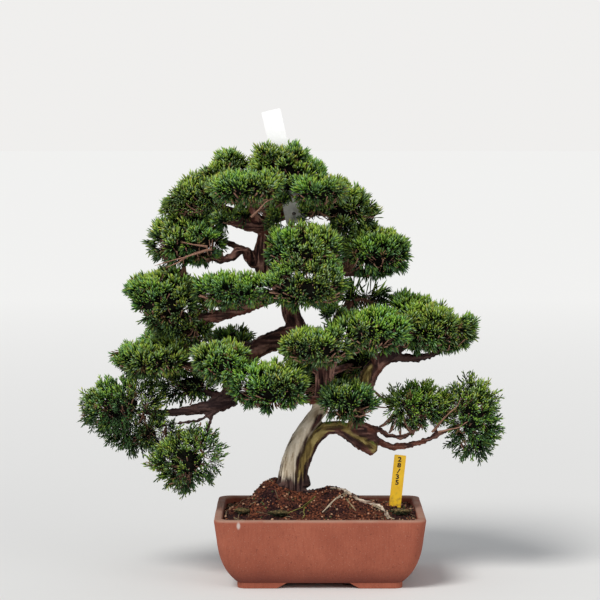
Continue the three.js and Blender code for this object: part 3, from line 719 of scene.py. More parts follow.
# %% Sprigs of a pad
LUMP_SIZE, RAGGED_SIZE = 19 * MM, 31 * MM
DEAD_SHARE, DEAD_TONE, DEAD_DEEPER = 0.03, 0.975, 4 * MM
SPRIG_START = 1.5 * MM
TONE_SPREAD = 0.12


def sprigs_for(name):
    parts = []
    way = habit_of(name)
    count = way["sprigs"]
    for place, outwards in tufts[name]:
        lump = noise_at(place, LUMP_SIZE)
        place = place + outwards * way["ragged"] * MM * noise_at(place, RAGGED_SIZE)
        heart = place - outwards * (way["heart"] + 5 * lump) * MM
        sunniness = 0.47 + 0.36 * outwards[2] + 0.35 * lump
        tuft_tone = sunniness + dice.uniform(-TONE_SPREAD, TONE_SPREAD) - way["shade"]
        sideways = np.array([place[0], place[1], 0]) / (math.hypot(place[0], place[1]) + 40 * MM)
        axis = 0.75 * outwards + 0.35 * sideways
        axis[2] += way["up"] * min(1.0, max(0.1, 1 + 1.2 * outwards[2]))
        axis /= np.linalg.norm(axis)
        directions = axis + 0.8 * random_directions(count) * dice.random((count, 1)) ** 0.5
        turns = frames_for(directions, dice.uniform(0, 2 * math.pi, count))
        sizes = dice.uniform(0.75, 1.25, count) * way["size"] * MM
        for turn, size in zip(turns, sizes):
            points, triangles, own_tone, tip = way["shapes"][dice.integers(SPRIG_KINDS)]
            placed = (points * size) @ turn.T + heart + turn[:, 2] * SPRIG_START
            if dice.random() < DEAD_SHARE:
                tones = DEAD_TONE
                placed -= outwards * DEAD_DEEPER
            else:
                tones = np.clip(tuft_tone + dice.uniform(-TONE_SPREAD, TONE_SPREAD) + own_tone, 0.02, 0.93)
            parts.append((placed, triangles, map_of(points, tones, tip)))
    return joined(parts)


print("sprigs in all:", sum(len(tufts[name]) * habit_of(name)["sprigs"] for name in pad_names))

# %% [markdown]
# A thin twig joins the nearest wood to the heart of each tuft. It sags a little in the middle and is as thick
# as it has to be for its length. Under a pad, where the skin is bare, more twigs come to the surface. A few
# long bare twigs cross in front of pads, so they are laid through listed bends, just before the pad's front.

# %% Twigs
TWIG_RADIUS = 1.15 * MM
TWIG_SAG, TWIG_BOW = 0.16, 0.06
SHORTEST_TWIG = 4 * MM
HEART_UNDER, BARE_UNDER = 12 * MM, 3 * MM
twig_shape = bar(4, 2, 0.55)
bare_twig_shape = bar(5, 9, 0.45)
wood_points = as_arrays(nodes["wood"].data)[0]
# The bends of the bare twigs, each as its X and Z from the pot's middle.
BARE_TWIGS = {
    "pad_low_right_tip": (((128, 173), (135, 180), (142, 190), (151, 198), (157, 203), (161, 213)),
                          ((135, 173), (147, 176), (158, 178), (170, 186))),
    "pad_crown_front": (((-77, 421), (-70, 427), (-64, 434), (-58, 440)),),
    "pad_upper_left": (((-122, 383), (-138, 380), (-152, 374), (-168, 370), (-187, 364)),
                       ((-127, 386), (-143, 388), (-156, 391)),
                       ((-150, 375), (-160, 368), (-174, 362))),
    "pad_upper_right": (((-2, 368), (7, 359), (18, 354), (30, 350)), ((7, 359), (11, 364), (24, 369)))}
BEFORE_PAD = 5 * MM


def twig_map(points):
    return map_of(points, 0.5 + 0.4 * np.sign(points[:, 0]), points[:, 2])


def twig_to(end):
    """A twig from the nearest wood to a place, or nothing where the wood is close by."""
    points, triangles = twig_shape
    root = wood_points[np.argmin(np.linalg.norm(wood_points - end, axis=1))].astype(float)
    length = np.linalg.norm(end - root)
    if length < SHORTEST_TWIG:
        return None
    turn = frames_for((end - root)[None], np.array([0.4]))[0]
    thick = TWIG_RADIUS * (0.7 + 0.012 * length / MM)
    placed = (points * [thick, thick, length]) @ turn.T + root
    swell = length * np.sin(math.pi * points[:, 2:])
    placed[:, 2:] -= TWIG_SAG * swell
    placed += TWIG_BOW * swell * random_directions(1)
    return placed, triangles, twig_map(points)


def bare_twig(name, line):
    points, triangles = bare_twig_shape
    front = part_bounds(name)[0].y - BEFORE_PAD
    spots = [(x * MM + pot_middle.x, front + 1.5 * MM * math.sin(x), z * MM) for x, z in line]
    knobbly = TWIG_RADIUS * (1.25 - 0.6 * points[:, 2] + 0.25 * np.sin(23 * points[:, 2]))
    return bend(points, spots, knobbly), triangles, twig_map(points)


def twigs_for(name):
    ends = [place - outwards * HEART_UNDER for place, outwards in tufts[name]]
    ends += [place - outwards * BARE_UNDER for place, outwards in bare_spots[name]]
    grown = [twig for twig in map(twig_to, ends) if twig]
    return joined(grown + [bare_twig(name, line) for line in BARE_TWIGS.get(name, ())])


print("bare twigs:", sum(map(len, BARE_TWIGS.values())))

# %% [markdown]
# Deep inside a pad, a dark and crumpled kernel stands for the shade of countless old leaves. It is painted
# shade, almost black, so that no light shows through a thick pad. A ball is pressed into the pad's rounded
# box, crumpled by noise and kept well under the pad's skin. The thin pad has none.

# %% Kernel of a pad
KERNEL_UNDER = 9 * MM
BOXINESS = 2.35         # 2 is an egg, and higher numbers come nearer to a box


def kernel_for(name):
    """A crumpled ball inside the pad, painted almost black as the shade there."""
    low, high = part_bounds(name)
    centre, half = (low + high) / 2, (high - low) / 2 * habit_of(name)["kernel"]
    ball = bmesh.new()
    bmesh.ops.create_icosphere(ball, subdivisions=3, radius=1)
    for vert in ball.verts:
        fullness = sum(abs(part) ** BOXINESS for part in vert.co) ** (1 / BOXINESS)
        place = Vector(vert.co) / fullness
        place = Vector((place.x * half.x, place.y * half.y, place.z * half.z)) + centre
        crumple = noise_at(place, 11 * MM) + 0.6 * noise_at(place, 5 * MM)
        vert.co = centre + (place - centre) * (0.93 + 0.22 * crumple)
        spot, way, _, _ = solids[name][0].find_nearest(vert.co)
        above = (vert.co - spot).dot(way) + KERNEL_UNDER
        vert.co -= way * max(0, above)
    bmesh.ops.triangulate(ball, faces=ball.faces)
    points, triangles = as_arrays(mesh_of(ball, "kernel"))
    flat = (points - np.array(centre)) / np.array(half)
    return points.astype(float), triangles, map_of(points, 0.5 + 0.45 * flat[:, 0], 0.5 + 0.45 * flat[:, 2])


print("a dense pad's kernel fills", DENSE["kernel"], "of its box each way")

# %% [markdown]
# A pad's hundreds of small parts become one mesh. Mesh data takes whole arrays at once, which
# is many times faster than adding faces one by one, and each part keeps its own material.

# %% One mesh to a pad
def mesh_from(name, parts):
    """One mesh from several parts, with a material slot to each."""
    points, triangles, maps = joined(parts)
    corners = len(triangles) * 3
    mesh = bpy.data.meshes.new(name)
    mesh.vertices.add(len(points))
    mesh.vertices.foreach_set("co", points.astype(np.float32).ravel())
    mesh.loops.add(corners)
    mesh.loops.foreach_set("vertex_index", triangles.astype(np.int32).ravel())
    mesh.polygons.add(len(triangles))
    mesh.polygons.foreach_set("loop_start", np.arange(0, corners, 3, dtype=np.int32))
    slots = np.concatenate([np.full(len(part[1]), number) for number, part in enumerate(parts)])
    mesh.polygons.foreach_set("material_index", slots.astype(np.int32))
    mesh.polygons.foreach_set("use_smooth", [True] * len(triangles))
    layer = mesh.uv_layers.new(name=SPRIG_MAP)
    layer.data.foreach_set("uv", maps[triangles.ravel()].astype(np.float32).ravel())
    mesh.update(calc_edges=True)
    return mesh


triangle_total = 0
for name in pad_names:
    growth = [sprigs_for(name), twigs_for(name)]
    finishes = [leaf_material, twig_material]
    if habit_of(name)["kernel"]:
        growth.append(kernel_for(name))
        finishes.append(hollow_material)
    leaves = mesh_from(name + "_shoots", growth)
    show(name + "_shoots", leaves, "foliage", [name], *finishes)
    triangle_total += len(leaves.polygons)
print("triangles in the shoots:", triangle_total)

# %% [markdown]
# ## The wood
# Trunk, branches and roots are one grown piece. The part's own mesh has the right shape but
# flat facets. It is copied, its loose triangles are merged, and a voxel remesh turns it into
# an even net, fine enough to carve. Juniper bark is long fibres that follow the limb. To find
# which way a limb runs, look at the normals around a spot: they all stand square to it. Then
# random numbers on the net are combed along that way, and they turn into fibres.

# %% Remesh the wood
WOOD_VOXEL = 1.5 * MM


def even_net(name, voxel):
    """A copy of a part's node as one even net of small squares."""
    shape = bmesh.new()
    shape.from_mesh(nodes[name].data)
    bmesh.ops.remove_doubles(shape, verts=shape.verts, dist=1e-6)
    helper = bpy.data.objects.new("helper", mesh_of(shape, "copy"))
    scene.collection.objects.link(helper)
    remesh = helper.modifiers.new("net", "REMESH")
    remesh.mode = "VOXEL"
    remesh.voxel_size = voxel
    seen_by = bpy.context.evaluated_depsgraph_get()
    net = bpy.data.meshes.new_from_object(helper.evaluated_get(seen_by))
    net.materials.clear()
    bpy.data.objects.remove(helper)
    return net


wood_shape = bmesh.new()
wood_shape.from_mesh(even_net("wood", WOOD_VOXEL))
for _ in range(3):
    soften(wood_shape, wood_shape.verts)
wood_mesh = mesh_of(wood_shape, "wood")
print("points in the wood's net:", len(wood_mesh.vertices))

# %% [markdown]
# The combing is done with arrays. Around each point the normals are summed up as squares, and
# the direction that is least in them is the way the limb runs. Then random numbers are
# averaged over and over between neighbours, with most weight where the edge between them runs
# along the limb. Many rounds give long fibres, and a few give short ones.

# %% Comb fibres along the limbs
LIMB_ROUNDS, FIBRE_ROUNDS, FINE_ROUNDS = 14, 26, 8


def net_arrays(mesh):
    """The points of a net, their normals, and the edges between them."""
    points, _ = as_arrays(mesh)
    normals = np.empty(len(mesh.vertices) * 3, np.float32)
    mesh.vertices.foreach_get("normal", normals)
    edges = np.empty(len(mesh.edges) * 2, np.int32)
    mesh.edges.foreach_get("vertices", edges)
    return points.astype(float), normals.reshape(-1, 3).astype(float), edges.reshape(-1, 2)


def spread_along(values, edges, weights, rounds):
    """Each point takes the weighted mean of itself and its neighbours, round after round."""
    one, two = edges[:, 0], edges[:, 1]
    total = 1 + np.bincount(one, weights, len(values)) + np.bincount(two, weights, len(values))
    for _ in range(rounds):
        if values.ndim == 1:
            pulled = np.bincount(one, weights * values[two], len(values))
            pulled += np.bincount(two, weights * values[one], len(values))
            values = (values + pulled) / total
        else:
            values = np.stack([spread_along(column, edges, weights, 1) for column in values.T], 1)
    return values


def combed(rounds):
    """Random numbers on the net, drawn out along the limbs."""
    values = spread_along(dice.normal(size=len(places)), edges, 6 * along_limb ** 6, rounds)
    return values / values.std()


places, normals, edges = net_arrays(wood_mesh)
squares = (normals[:, :, None] * normals[:, None, :]).reshape(-1, 9)
squares = spread_along(squares, edges, np.ones(len(edges)), LIMB_ROUNDS).reshape(-1, 3, 3)
limb_ways = np.linalg.eigh(squares)[1][:, :, 0]
edge_ways = places[edges[:, 1]] - places[edges[:, 0]]
edge_ways /= np.linalg.norm(edge_ways, axis=1)[:, None]
first_ways, second_ways = limb_ways[edges[:, 0]], limb_ways[edges[:, 1]]
same_sense = np.sign((first_ways * second_ways).sum(1))[:, None]
along_limb = np.abs((edge_ways * (first_ways + second_ways * same_sense)).sum(1)) / 2
fibres = combed(FIBRE_ROUNDS)
fine = combed(FINE_ROUNDS)
print("fibres combed over", len(places), "points")

# %% [markdown]
# Three kinds of surface show on this trunk. The deadwood strip on its left is bare, smooth
# and silver. The living bark on the arm is polished to olive. Everything else is dark,
# flaky, red-brown bark. Lines through the wood, each with its points measured from the middle
# of the pot, tell which zone a point belongs to: it is in the zone of the line that it is
# near to, with an edge that wanders along the fibres. The strip's edge is a dark vein, the
# olive bark stays off the old saw cut and the inner side of the bend, and a little green moss
# grows on top of the arm.

# %% Zones of the wood
def from_pot(*line):
    return np.array(line, float) * MM + np.array(pot_middle)


strip_line = from_pot((-44, -12, 84), (-41, -12, 104), (-38, -12, 120), (-34, -12, 138), (-27, -12, 157),
                      (-18, -11, 172), (-8, -9, 184), (-2, -6, 192))
vein_line = from_pot((-32, -10, 92), (-29, -12, 120), (-25, -12, 141), (-17, -11, 159), (-9, -9, 175),
                     (0, -8, 188))
knot_line = from_pot((42, -12, 175), (54, -10, 171), (63, -8, 165))
arm_line = from_pot((-22, -10, 122), (-15, -10, 141), (-7, -10, 159), (4, -10, 172), (20, -10, 176),
                    (36, -10, 167), (49, -10, 157), (59, -10, 151))
root_line = from_pot((15, -13, 103), (29, -9, 101), (38, -20, 96), (51, -23, 90), (66, -25, 88),
                     (74, -43, 83), (78, -62, 77))
fork_line = from_pot((29, -14, 100), (27, -25, 97), (19, -35, 92), (11, -45, 86), (5, -53, 82))
stem_line = from_pot((38, -8, 186), (42, -7, 207), (48, -6, 226), (54, -6, 243))


def distance_to(line, places):
    """How far each place is from a line through several points."""
    nearest = np.full(len(places), 1e9)
    for a, b in zip(line[:-1], line[1:]):
        along = np.clip(((places - a) @ (b - a)) / ((b - a) @ (b - a)), 0, 1)
        nearest = np.minimum(nearest, np.linalg.norm(places - a - along[:, None] * (b - a), axis=1))
    return nearest


def ramp(values, low, high):
    t = np.clip((values - low) / (high - low), 0, 1)
    return t * t * (3 - 2 * t)


def cloud(places, size):
    return np.array([noise_at(place, size) for place in places])


rough_patches = cloud(places, 9 * MM)
to_strip, to_vein = distance_to(strip_line, places), distance_to(vein_line, places)
to_arm, to_stem = distance_to(arm_line, places), distance_to(stem_line, places)
wander = 0.5 * MM * fibres + 1.0 * MM * rough_patches
pale = ramp(14 * MM - to_strip + wander, 0, 2 * MM) * ramp(to_vein + 0.7 * wander, 3 * MM, 5 * MM)
pale *= ramp(to_arm - to_strip, -2 * MM, 1 * MM)
pale *= ramp(normals[:, 0] + 0.1 * fibres, -0.93, -0.78)
above_soil = ramp(places[:, 2] - 114 * MM + 4 * wander, 0, 10 * MM)
pale *= above_soil
upper_side = ramp(normals[:, 2] * 0.8 - normals[:, 1] * 0.7 + 0.25 * fibres, -0.35, 0.35)
inwards = from_pot((14, -9, 126))[0] - places
inwards /= np.linalg.norm(inwards, axis=1)[:, None]
inner_share = 0.42 - 0.4 * ramp(places[:, 0] - pot_middle.x, 2 * MM, 30 * MM)
outer_side = ramp(inner_share - (normals * inwards).sum(1) + 0.1 * fibres, 0, 0.2)
olive = ramp(13.5 * MM - to_arm + wander, 0, 2 * MM) * upper_side * outer_side * above_soil
olive *= ramp(to_vein + 0.7 * wander, 3 * MM, 5 * MM)
olive = np.maximum(olive, ramp(9 * MM - to_stem + wander, 0, 2 * MM))
olive *= ramp(distance_to(knot_line, places) + 1.5 * wander, 6 * MM, 11 * MM)
olive *= 1 - pale
mossy = ramp(normals[:, 2], 0.35, 0.8) * ramp(cloud(places, 6 * MM), -0.15, 0.25)
mossy *= ramp(15 * MM - to_arm, 0, 3 * MM) * ramp(places[:, 0] - pot_middle.x, -6 * MM, 4 * MM)
smooth_wood = np.maximum(pale, olive)
print("share of pale wood:", round(float(pale.mean()), 3), "olive:", round(float(olive.mean()), 3))

# %% [markdown]
# The fibres are carved into the net, deep on flaky bark and shallow on smooth wood and on thin twigs, and
# knobs grow on the thin branches. The zones are kept on the mesh as attributes, for the material to read. Some
# low branches at the left, on the second stem and under the right side get painted shade, almost black, and
# two bare roots that cross the soil are pale.

# %% Carve the wood and keep its zones on the mesh
carve = (0.42 * fibres + 0.25 * fine) * (1 - 0.55 * smooth_wood) + 0.9 * rough_patches * (1 - smooth_wood)
trunk_line = from_pot((-40, -8, 92), (3, 0, 200), (6, 6, 234), (-34, 3, 315), (-78, -3, 374),
                      (-59, 0, 420))
from_trunk = distance_to(trunk_line, places)
depth = 0.45 + 0.55 * ramp(30 * MM - from_trunk, 0, 16 * MM)
KNOB_SIZE, KNOB_HEIGHT = 3.6 * MM, 1.8
knobs = cloud(places, KNOB_SIZE) * ramp(from_trunk, 22 * MM, 34 * MM)
places += normals * ((carve * depth + KNOB_HEIGHT * knobs) * MM)[:, None]
wood_mesh.vertices.foreach_set("co", places.astype(np.float32).ravel())


def keep(mesh, name, values):
    layer = mesh.attributes.new(name, "FLOAT", "POINT")
    layer.data.foreach_set("value", np.asarray(values, np.float32))


keep(wood_mesh, "pale", pale)
keep(wood_mesh, "olive", olive)
keep(wood_mesh, "mossy", mossy)
keep(wood_mesh, "thin", ramp(from_trunk, 20 * MM, 34 * MM))
from_middle = (places - np.array(pot_middle)) / MM
# Painted shade: the low branches at the left, on the second stem and under the right side are darkened almost
# black.
low_left = ramp(-from_middle[:, 0], 72, 88) * ramp(-from_middle[:, 2], -290, -265)
low_stem = ramp(-from_middle[:, 2], -180, -160) * ramp(-from_middle[:, 0], -46, -34)
under_right = ramp(from_middle[:, 0], 70, 86) * ramp(from_middle[:, 2], 205, 220)
keep(wood_mesh, "painted_limb_shade", np.maximum(np.maximum(low_left, low_stem), under_right))
keep(wood_mesh, "fibre", 0.5 + 0.22 * fibres + 0.12 * fine)
bare_root = ramp(4.5 * MM - np.minimum(distance_to(root_line, places), distance_to(fork_line, places)),
                 0, 1.5 * MM)
keep(wood_mesh, "bare_root", bare_root * ramp(rough_patches + 0.3 * fibres, -0.5, 0.1))
wood_mesh.polygons.foreach_set("use_smooth", [True] * len(wood_mesh.polygons))
wood_mesh.update()
carved = carve * depth
print("fibres carved from", round(float(carved.min()), 2), "to", round(float(carved.max()), 2), "mm")

# %% [markdown]
# The bark material reads the zones from the mesh. Each zone has a ramp of colours that the
# fibres run through, and the zones are laid over one another: flaky bark first, then olive,
# silver, the pale bare roots and the moss.

# %% Bark material
bark_material, bark_nodes, bark_shader = new_material("juniper_bark", 0.85, 0.25)


def carried(tree, name):
    return add(tree, "Attribute", {"attribute_name": name}).outputs["Fac"]


fibre = carried(bark_nodes, "fibre")
bark_place = object_place(bark_nodes)
speck = patches(bark_nodes, bark_place, 420, 4, 0.3, 0.7)
# The fibre number is lowest mostly where the fibres are carved deepest, so the near-black end of the flaky
# ramp lies in the grooves. That dark is the bark's own dark crevices, deepened with painted shade.
flaky = stops(bark_nodes, fibre, (0.2, (0.008, 0.003, 0.004)), (0.48, (0.085, 0.032, 0.026)),
              (0.85, (0.480, 0.250, 0.190)))
redder = patches(bark_nodes, bark_place, 38, 2, 0.5, 0.62)
flaky = lay_over(bark_nodes, flaky, (0.300, 0.090, 0.050), redder, 0.55)
flaky = lay_over(bark_nodes, flaky, (0.055, 0.024, 0.022), speck, 0.4)
flaky = lay_over(bark_nodes, flaky, (0.070, 0.034, 0.028), carried(bark_nodes, "thin"), 0.3)
# Painted shade on those limbs, almost black.
flaky = lay_over(bark_nodes, flaky, (0.016, 0.008, 0.009), carried(bark_nodes, "painted_limb_shade"), 0.8)
green = stops(bark_nodes, fibre, (0.25, (0.060, 0.034, 0.014)), (0.5, (0.240, 0.165, 0.045)),
              (0.8, (0.480, 0.370, 0.130)))
green = lay_over(bark_nodes, green, (0.110, 0.085, 0.035), speck, 0.35)
silver = stops(bark_nodes, fibre, (0.02, (0.280, 0.200, 0.130)), (0.3, (0.560, 0.460, 0.330)),
               (0.85, (0.820, 0.720, 0.570)))
silver = lay_over(bark_nodes, silver, (0.240, 0.200, 0.130), speck, 0.2)
root_tint = stops(bark_nodes, fibre, (0.2, (0.130, 0.080, 0.050)), (0.7, (0.680, 0.560, 0.440)))
moss_tint = blend(bark_nodes, speck, (0.060, 0.085, 0.012), (0.190, 0.260, 0.035))
zones = flaky
for zone, tint in (("olive", green), ("pale", silver), ("bare_root", root_tint), ("mossy", moss_tint)):
    zones = blend(bark_nodes, carried(bark_nodes, zone), zones, tint)
paint(bark_nodes, bark_shader, zones, stops(bark_nodes, fibre, (0.2, 0.95), (0.8, 0.68)))
bump(bark_nodes, bark_shader, speck, 0.0004, 0.6)
show("bark_and_deadwood", wood_mesh, "bark", ["wood"], bark_material)
print("wood triangles:", len(as_arrays(wood_mesh)[1]))

# %% [markdown]
# ## The soil
# Bonsai soil is baked clay grains, bark and old moss. From three metres away it reads as a
# rough dark ground with single crumbs on it. The ground is an even net over the part's soil,
# cut off under the surface where nobody sees it, and pushed up and down by noise, less so at
# the pot's walls. The mound gets a hollow at the left and a low crest at the right.

# %% Ground of the soil
SOIL_VOXEL = 2.2 * MM
SOIL_CUT = 64 * MM
POT_INSIDE = (109.5 * MM, 87.0 * MM)
MOUND_FOOT, MOUND_EDGE = 86 * MM, 10 * MM
HOLLOW = {"at": -84 * MM, "wide": 13 * MM, "rise": -6 * MM}
CREST = {"at": 14 * MM, "wide": 26 * MM, "rise": 2 * MM}
soil_shape = bmesh.new()
soil_shape.from_mesh(even_net("soil", SOIL_VOXEL))
cut_off(soil_shape, (0, 0, SOIL_CUT), (0, 0, 1))
soften(soil_shape, [vert for vert in soil_shape.verts if vert.co.z > SOIL_CUT + MM])
soil_shape.normal_update()
for vert in soil_shape.verts:
    if vert.normal.z > 0.3:
        at = vert.co - pot_middle
        from_wall = min(POT_INSIDE[0] - abs(at.x), POT_INSIDE[1] - abs(at.y))
        grainy = 1.3 * noise_at(vert.co, 6 * MM) + 1.0 * noise_at(vert.co, 2.6 * MM)
        vert.co.z += grainy * MM * min(1, max(0.2, from_wall / (6 * MM)))
        on_mound = min(1, max(0, (vert.co.z - MOUND_FOOT) / MOUND_EDGE))
        for wave in (HOLLOW, CREST):
            vert.co.z += on_mound * wave["rise"] * math.exp(-((at.x - wave["at"]) / wave["wide"]) ** 2)
soil_points, soil_triangles = as_arrays(mesh_of(soil_shape, "soil"))
ground_tree = tree_from(soil_points, soil_triangles)
print("triangles in the ground:", len(soil_triangles))

# %% [markdown]
# All that lies on the soil shares one material. The map of a crumb isn't a picture's place but
# a choice: the first number picks its tone, and the second its kind. On top of the ground lie
# crumbs, a few lumps modelled once from the
# smallest ball there is and then scattered, with some bits of moss among them. Fine fibres lie
# in little bows, and roots and fallen twigs are bars that are let down on the ground.

# %% Crumbs and fibres on the soil
CRUMBS, FIBRES = 2300, 90
LUMP_KINDS = 5
GROUND, GRAIN, ROOT, GREEN_TWIG, MOSS_BIT = 0.1, 0.5, 0.7, 0.8, 0.9
GRAIN_SHARE = 0.93
FIBRE_RADIUS = 0.35 * MM
OPEN_SLOPE, OPEN_FROM = 0.35, 68 * MM


def lump(seed):
    """A crumb: the smallest ball with its corners pushed about."""
    ball = bmesh.new()
    bmesh.ops.create_icosphere(ball, subdivisions=1, radius=1)
    for vert in ball.verts:
        vert.co *= 1 + 0.5 * noise.noise(vert.co * 1.7 + Vector((seed * 7.3, 0, 0)))
    bmesh.ops.scale(ball, vec=(1, 0.85, 0.7), verts=ball.verts)
    return as_arrays(mesh_of(ball, "lump"))


def is_open_soil(corners, slopes):
    return (slopes[:, 2] > OPEN_SLOPE) & (corners[:, 2] > OPEN_FROM)


def on_soil(count):
    """Random places on the open soil, and which way is up there."""
    return zip(*scatter(soil_points, soil_triangles, count, is_open_soil))


lumps = [lump(seed) for seed in range(LUMP_KINDS)]
ground_tone = 0.25 + 0.25 * cloud(soil_points, 4 * MM)
soil_parts = [(soil_points.astype(float), soil_triangles, map_of(soil_points, ground_tone, GROUND))]
for spot, up in on_soil(CRUMBS):
    points, triangles = lumps[dice.integers(len(lumps))]
    size = (0.6 + 1.3 * dice.random() ** 1.8) * MM
    turn = frames_for(up[None] + 0.4 * random_directions(1), dice.uniform(0, 6.28, 1))[0]
    placed = (points * size) @ turn.T + spot + up * size * 0.25
    kind = GRAIN if dice.random() < GRAIN_SHARE else MOSS_BIT
    soil_parts.append((placed, triangles, map_of(points, dice.uniform(0.05, 0.95), kind)))

points, triangles = bar(3, 3)
for spot, up in on_soil(FIBRES):
    level = frames_for(up[None], dice.uniform(0, 6.28, 1))[0]
    length = dice.uniform(6, 17) * MM
    bow = dice.uniform(-0.25, 0.25) * length
    arch = np.sin(math.pi * points[:, 2])
    flat = np.stack([length * (points[:, 2] - 0.5), bow * arch + points[:, 0] * FIBRE_RADIUS,
                     points[:, 1] * FIBRE_RADIUS + 0.6 * MM + 1.2 * MM * arch], 1)
    soil_parts.append((flat @ level.T + spot, triangles, map_of(points, dice.uniform(0.2, 0.9), ROOT)))
print("crumbs:", CRUMBS, "fibres:", FIBRES)

# %% [markdown]
# Roots and fallen twigs lie where the photograph shows them. A ray straight down from above
# each bend finds the ground there, so they follow every dip.

# %% Roots and fallen twigs on the soil
# Each has its bends in X and Y from the pot's middle, its radius, its tone and its kind.
LAID = (([(-5, -28), (-11, -34), (-17, -40), (-24, -45), (-34, -52), (-46, -57)], 0.75, 0.55, GREEN_TWIG),
        ([(-17, -40), (-19, -47), (-17, -55), (-20, -62)], 0.6, 0.6, GREEN_TWIG),
        ([(-84, -44), (-70, -50), (-58, -56), (-44, -58)], 0.7, 0.15, ROOT),
        ([(-98, -46), (-96, -56), (-87, -61), (-80, -66)], 0.6, 0.5, ROOT),
        ([(33, -13), (28, -22), (22, -30), (15, -38), (9, -46), (3, -52)], 1.5, 0.98, ROOT),
        ([(27, -24), (31, -32), (37, -38), (41, -46)], 1.1, 0.8, ROOT),
        ([(62, -27), (70, -36), (77, -46), (79, -58), (84, -66)], 1.5, 0.95, ROOT))
HIGH_ABOVE = 300
laid_points, laid_triangles = bar(5, 15, 0.55)
for bends, radius, laid_tone, kind in LAID:
    spots = []
    for x, y in bends:
        hit = ground_tree.ray_cast(Vector((x, y, HIGH_ABOVE)) * MM + pot_middle, Vector((0, 0, -1)))[0]
        spots.append(np.array(hit) + [0, 0, radius * MM * 0.8])
    knobbly = radius * MM * (1 + 0.25 * np.sin(19 * laid_points[:, 2]))
    soil_parts.append((bend(laid_points, spots, knobbly), laid_triangles,
                       map_of(laid_points, laid_tone, kind)))
print("roots and twigs laid on the soil:", len(LAID))

# %% [markdown]
# The soil's ground is dark in places and red in others. Each kind of thing on it begins at a
# number of its own in the map, and has its own ramp of tones.

# %% Soil material
soil_material, soil_nodes, soil_shader = new_material("bonsai_soil", 0.95, 0.15)
soil_tone, soil_kind = axes_of(soil_nodes, map_place(soil_nodes))[:2]
soil_place = object_place(soil_nodes)
soil_fine = patches(soil_nodes, soil_place, 420, 4, 0.4, 0.62)
soil_redder = patches(soil_nodes, soil_place, 34, 3, 0.42, 0.6)
dark_ground = blend(soil_nodes, soil_fine, (0.006, 0.003, 0.005), (0.066, 0.022, 0.018))
red_ground = blend(soil_nodes, soil_fine, (0.012, 0.004, 0.004), (0.250, 0.078, 0.038))
soil_tint = blend(soil_nodes, soil_redder, dark_ground, red_ground)
# Each kind of thing begins at a number, and has the colours of its tones from dark to pale.
KINDS = ((0.3, ((0.0, (0.004, 0.002, 0.003)), (0.4, (0.046, 0.014, 0.012)),
                (0.72, (0.340, 0.110, 0.048)), (1.0, (0.700, 0.430, 0.280)))),
         (0.6, ((0.0, (0.130, 0.080, 0.045)), (0.9, (0.420, 0.330, 0.200)), (1.0, (0.640, 0.520, 0.390)))),
         (0.75, ((0.0, (0.120, 0.110, 0.030)), (1.0, (0.460, 0.430, 0.120)))),
         (0.85, ((0.0, (0.024, 0.032, 0.014)), (1.0, (0.150, 0.165, 0.060)))))
for begins, tones in KINDS:
    is_kind = maths(soil_nodes, "GREATER_THAN", soil_kind, begins)
    soil_tint = blend(soil_nodes, is_kind, soil_tint, stops(soil_nodes, soil_tone, *tones))
soil_tint = lay_over(soil_nodes, soil_tint, (0.012, 0.006, 0.006), soil_fine, 0.2)
paint(soil_nodes, soil_shader, soil_tint)
bump(soil_nodes, soil_shader, soil_fine, 0.0008, 0.8)
soil_mesh = mesh_from("soil_and_crumbs", [joined(soil_parts)])
show("soil_and_crumbs", soil_mesh, "soil", ["soil"], soil_material)
print("soil triangles:", len(soil_mesh.polygons))

# %% [markdown]
# ## Moss
# A moss cushion is hundreds of upright stems, each two millimetres high. A low dome with a
# ragged edge carries them, and each stem is the cheapest cone, with three sides. Stems at the
# cushion's edge lean outwards. Some brown crumbs have fallen on it.

# %% Moss cushions
STEMS_EACH, MOSS_CRUMBS = 380, 45
moss_material, moss_nodes, moss_shader = new_material("moss", 0.95, 0.1)
moss_tone, moss_height = axes_of(moss_nodes, map_place(moss_nodes))[:2]
moss_dark = blend(moss_nodes, moss_tone, (0.012, 0.017, 0.011), (0.066, 0.040, 0.022))
moss_light = blend(moss_nodes, moss_tone, (0.070, 0.105, 0.050), (0.290, 0.200, 0.090))
paint(moss_nodes, moss_shader, blend(moss_nodes, moss_height, moss_dark, moss_light))
stem_points, stem_triangles = bar(3, 0, 0.15)


